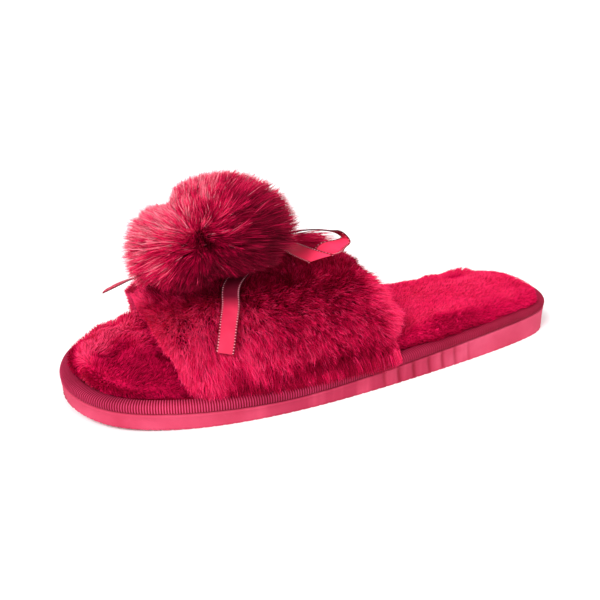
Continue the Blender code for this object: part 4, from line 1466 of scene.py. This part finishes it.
def furRest():
    # skin through the tips of the upper's fur, which the pompom sits on
    bm = bmesh.new()
    along, across = pompom["restSteps"]
    bmesh.ops.create_grid(bm, x_segments=along, y_segments=across, size=0.5)
    where = np.array([v.co for v in bm.verts]) + 0.5
    skin = (clothAt(clothGrid, where[:, 0], where[:, 1])
            + clothAt(clothNormal, where[:, 0], where[:, 1]) * bow["furTip"])
    for vert, point in zip(bm.verts, skin):
        vert.co = point
    tree = BVHTree.FromBMesh(bm)
    bm.free()
    return tree


def pompomReach(ways, rest):
    centre = np.array(pompom["centre"])
    total = np.zeros(len(ways))
    for lobe in pompom["lobes"]:
        size = 0.5 * np.array(lobe[3:])
        start, way = (centre - lobe[:3]) / size, ways / size
        along, across = way @ start, np.sum(way * way, axis=1)
        reach = (np.sqrt(along ** 2 - across * (start @ start - 1)) - along) / across
        total += reach ** pompom["blend"]
    notch = pompom["notch"]
    apart = ways - wayTo(notch["way"])
    along = apart @ wayTo(notch["along"])
    across = np.sum(apart * apart, axis=1) - along * along
    parting = np.exp(-across / notch["wide"] ** 2 - (along / notch["long"]) ** 2)
    reach = total ** (1 / pompom["blend"]) * (1 - notch["deep"] * parting)
    under = pompom["under"]
    below = rising(-ways[:, 2], *under["down"])
    reach *= 1 - under["trim"] * below * rising(ways[:, 1], *under["lateral"])
    for k in np.flatnonzero(ways[:, 2] < pompom["restBelow"]):
        hit, _, _, distance = rest.ray_cast(Vector(centre), Vector(ways[k]))
        if hit:
            reach[k] = min(reach[k], distance - pompom["clear"] / max(-ways[k, 2], pompom["slant"]))
    return reach


def makePompom(backing, fur):
    rest = furRest()
    bm = bmesh.new()
    bmesh.ops.create_icosphere(bm, subdivisions=pompom["coreSteps"], radius=1)
    ways = unit(np.array([v.co for v in bm.verts]))
    reach = pompomReach(ways, rest) * pompom["core"]
    for vert, way, far in zip(bm.verts, ways, reach):
        vert.co = np.array(pompom["centre"]) + way * far
    core = addPiece("pompom_core", bm, backing, ["pompom"])
    for name in pompom["layers"]:
        growPompom(name, rest, fur)


def pompomTones(ways, tips, locks, dice):
    shade, count = pompom["shade"], len(ways)
    near = ways @ wayTo(pompom["nearWay"])
    half = rising(near, *shade["half"])
    pale, dark = shade["pale"], shade["dark"]
    # painted highlight on the side that faces the light
    light = np.clip(ways @ wayTo(pale["way"]), *pale["limits"]) * (pale["far"] + (1 - pale["far"]) * half)
    tones = shade["base"] + locks + pale["tone"] * light
    amount, size = shade["cloud"]
    tones += amount * roughField(tips, size, 9) + shade["single"] * dice.normal(size=count)
    # painted rim light at the edge
    tone, stop, over = shade["rimLight"]
    tones += tone * falling(near, stop, over) * half
    # painted light on the toe side, painted shade on the heel side and underneath
    tone, start, over = shade["toe"]
    tones += tone * rising(ways[:, 0], start, over)
    tone, stop, over = shade["heel"]
    tones -= tone * falling(ways[:, 0], stop, over)
    tone, stop, over = shade["low"]
    tones -= tone * falling(ways[:, 2], stop, over)
    # painted shade beside the whorl
    tones -= dark["tone"] * rising(ways @ wayTo(dark["way"]), *dark["from"])
    share, tone = shade["glints"]
    return tones + tone * (dice.uniform(size=count) < share)


def growPompom(name, rest, fur):
    kind, count, sweep, depth, tall, width, seed = pompom["layers"][name]
    dice = np.random.default_rng(seed)
    centre = np.array(pompom["centre"])
    ways = unit(dice.normal(size=(count, 3)))
    reach = pompomReach(ways, rest) * dice.uniform(*tall, count)
    tips = centre + ways * reach[:, None]
    tips, lock = tufted(tips, *pompom["tufts"], dice)
    locks = dice.normal(scale=pompom["shade"]["lock"], size=count)[lock]
    tips += (tips - centre) * dice.normal(scale=pompom["lockReach"], size=count)[lock][:, None]
    tips += dice.normal(scale=pompom["spread"], size=tips.shape)
    x, y, z = pompom["bare"]
    clear = ~((tips[:, 0] < x) & (tips[:, 1] > y) & (tips[:, 2] < z))
    ways, tips, locks, count = ways[clear], tips[clear], locks[clear], int(clear.sum())
    amount, size = pompom["stray"]
    stray = roughWays(tips, size, 10) * amount
    amount, size = pompom["uneven"]
    swept = sweep * (1 + amount * roughField(tips, size, 11))
    start = unit(ways + swept[:, None] * wayTo(pompom["whorl"]) + stray)
    roots = centre + start * (pompomReach(start, rest) * dice.uniform(*depth, count))[:, None]
    middle = 0.5 * (roots + tips)
    bends = middle + unit(middle - centre) * (pompom["bend"] * np.linalg.norm(tips - roots, axis=1))[:, None]
    bends += dice.normal(scale=pompom["spread"], size=tips.shape)
    tones = pompomTones(ways, tips, locks, dice)
    mesh = strandMesh(name, kind, roots, bends, tips, dice.uniform(*width, count), tones, dice)
    addMesh(name, mesh, fur, ())


def growTail(fur):
    # longer hairs at the base that lie toward the heel, behind the ribbon's loop
    tail = pompom["tail"]
    dice, count = np.random.default_rng(tail["seed"]), tail["strands"]
    roots = np.array(tail["from"]) + dice.normal(size=(count, 3)) * tail["spread"]
    way = unit(np.array(tail["way"]) + dice.normal(scale=tail["fan"], size=(count, 3)))
    tips = roots + way * dice.uniform(*tail["length"], count)[:, None]
    bends = 0.5 * (roots + tips) + tail["arch"]
    base, spread = tail["tones"]
    tones = base + spread * dice.normal(size=count)
    widths = dice.uniform(*tail["width"], count)
    mesh = strandMesh("pompom_tail", "long", roots, bends, tips, widths, tones, dice)
    addMesh("pompom_tail", mesh, fur, ())


pompomFur = furMaterial("pompomFur", pompom["looks"])
makePompom(furBacking, pompomFur)
growTail(pompomFur)
print("pompom made")
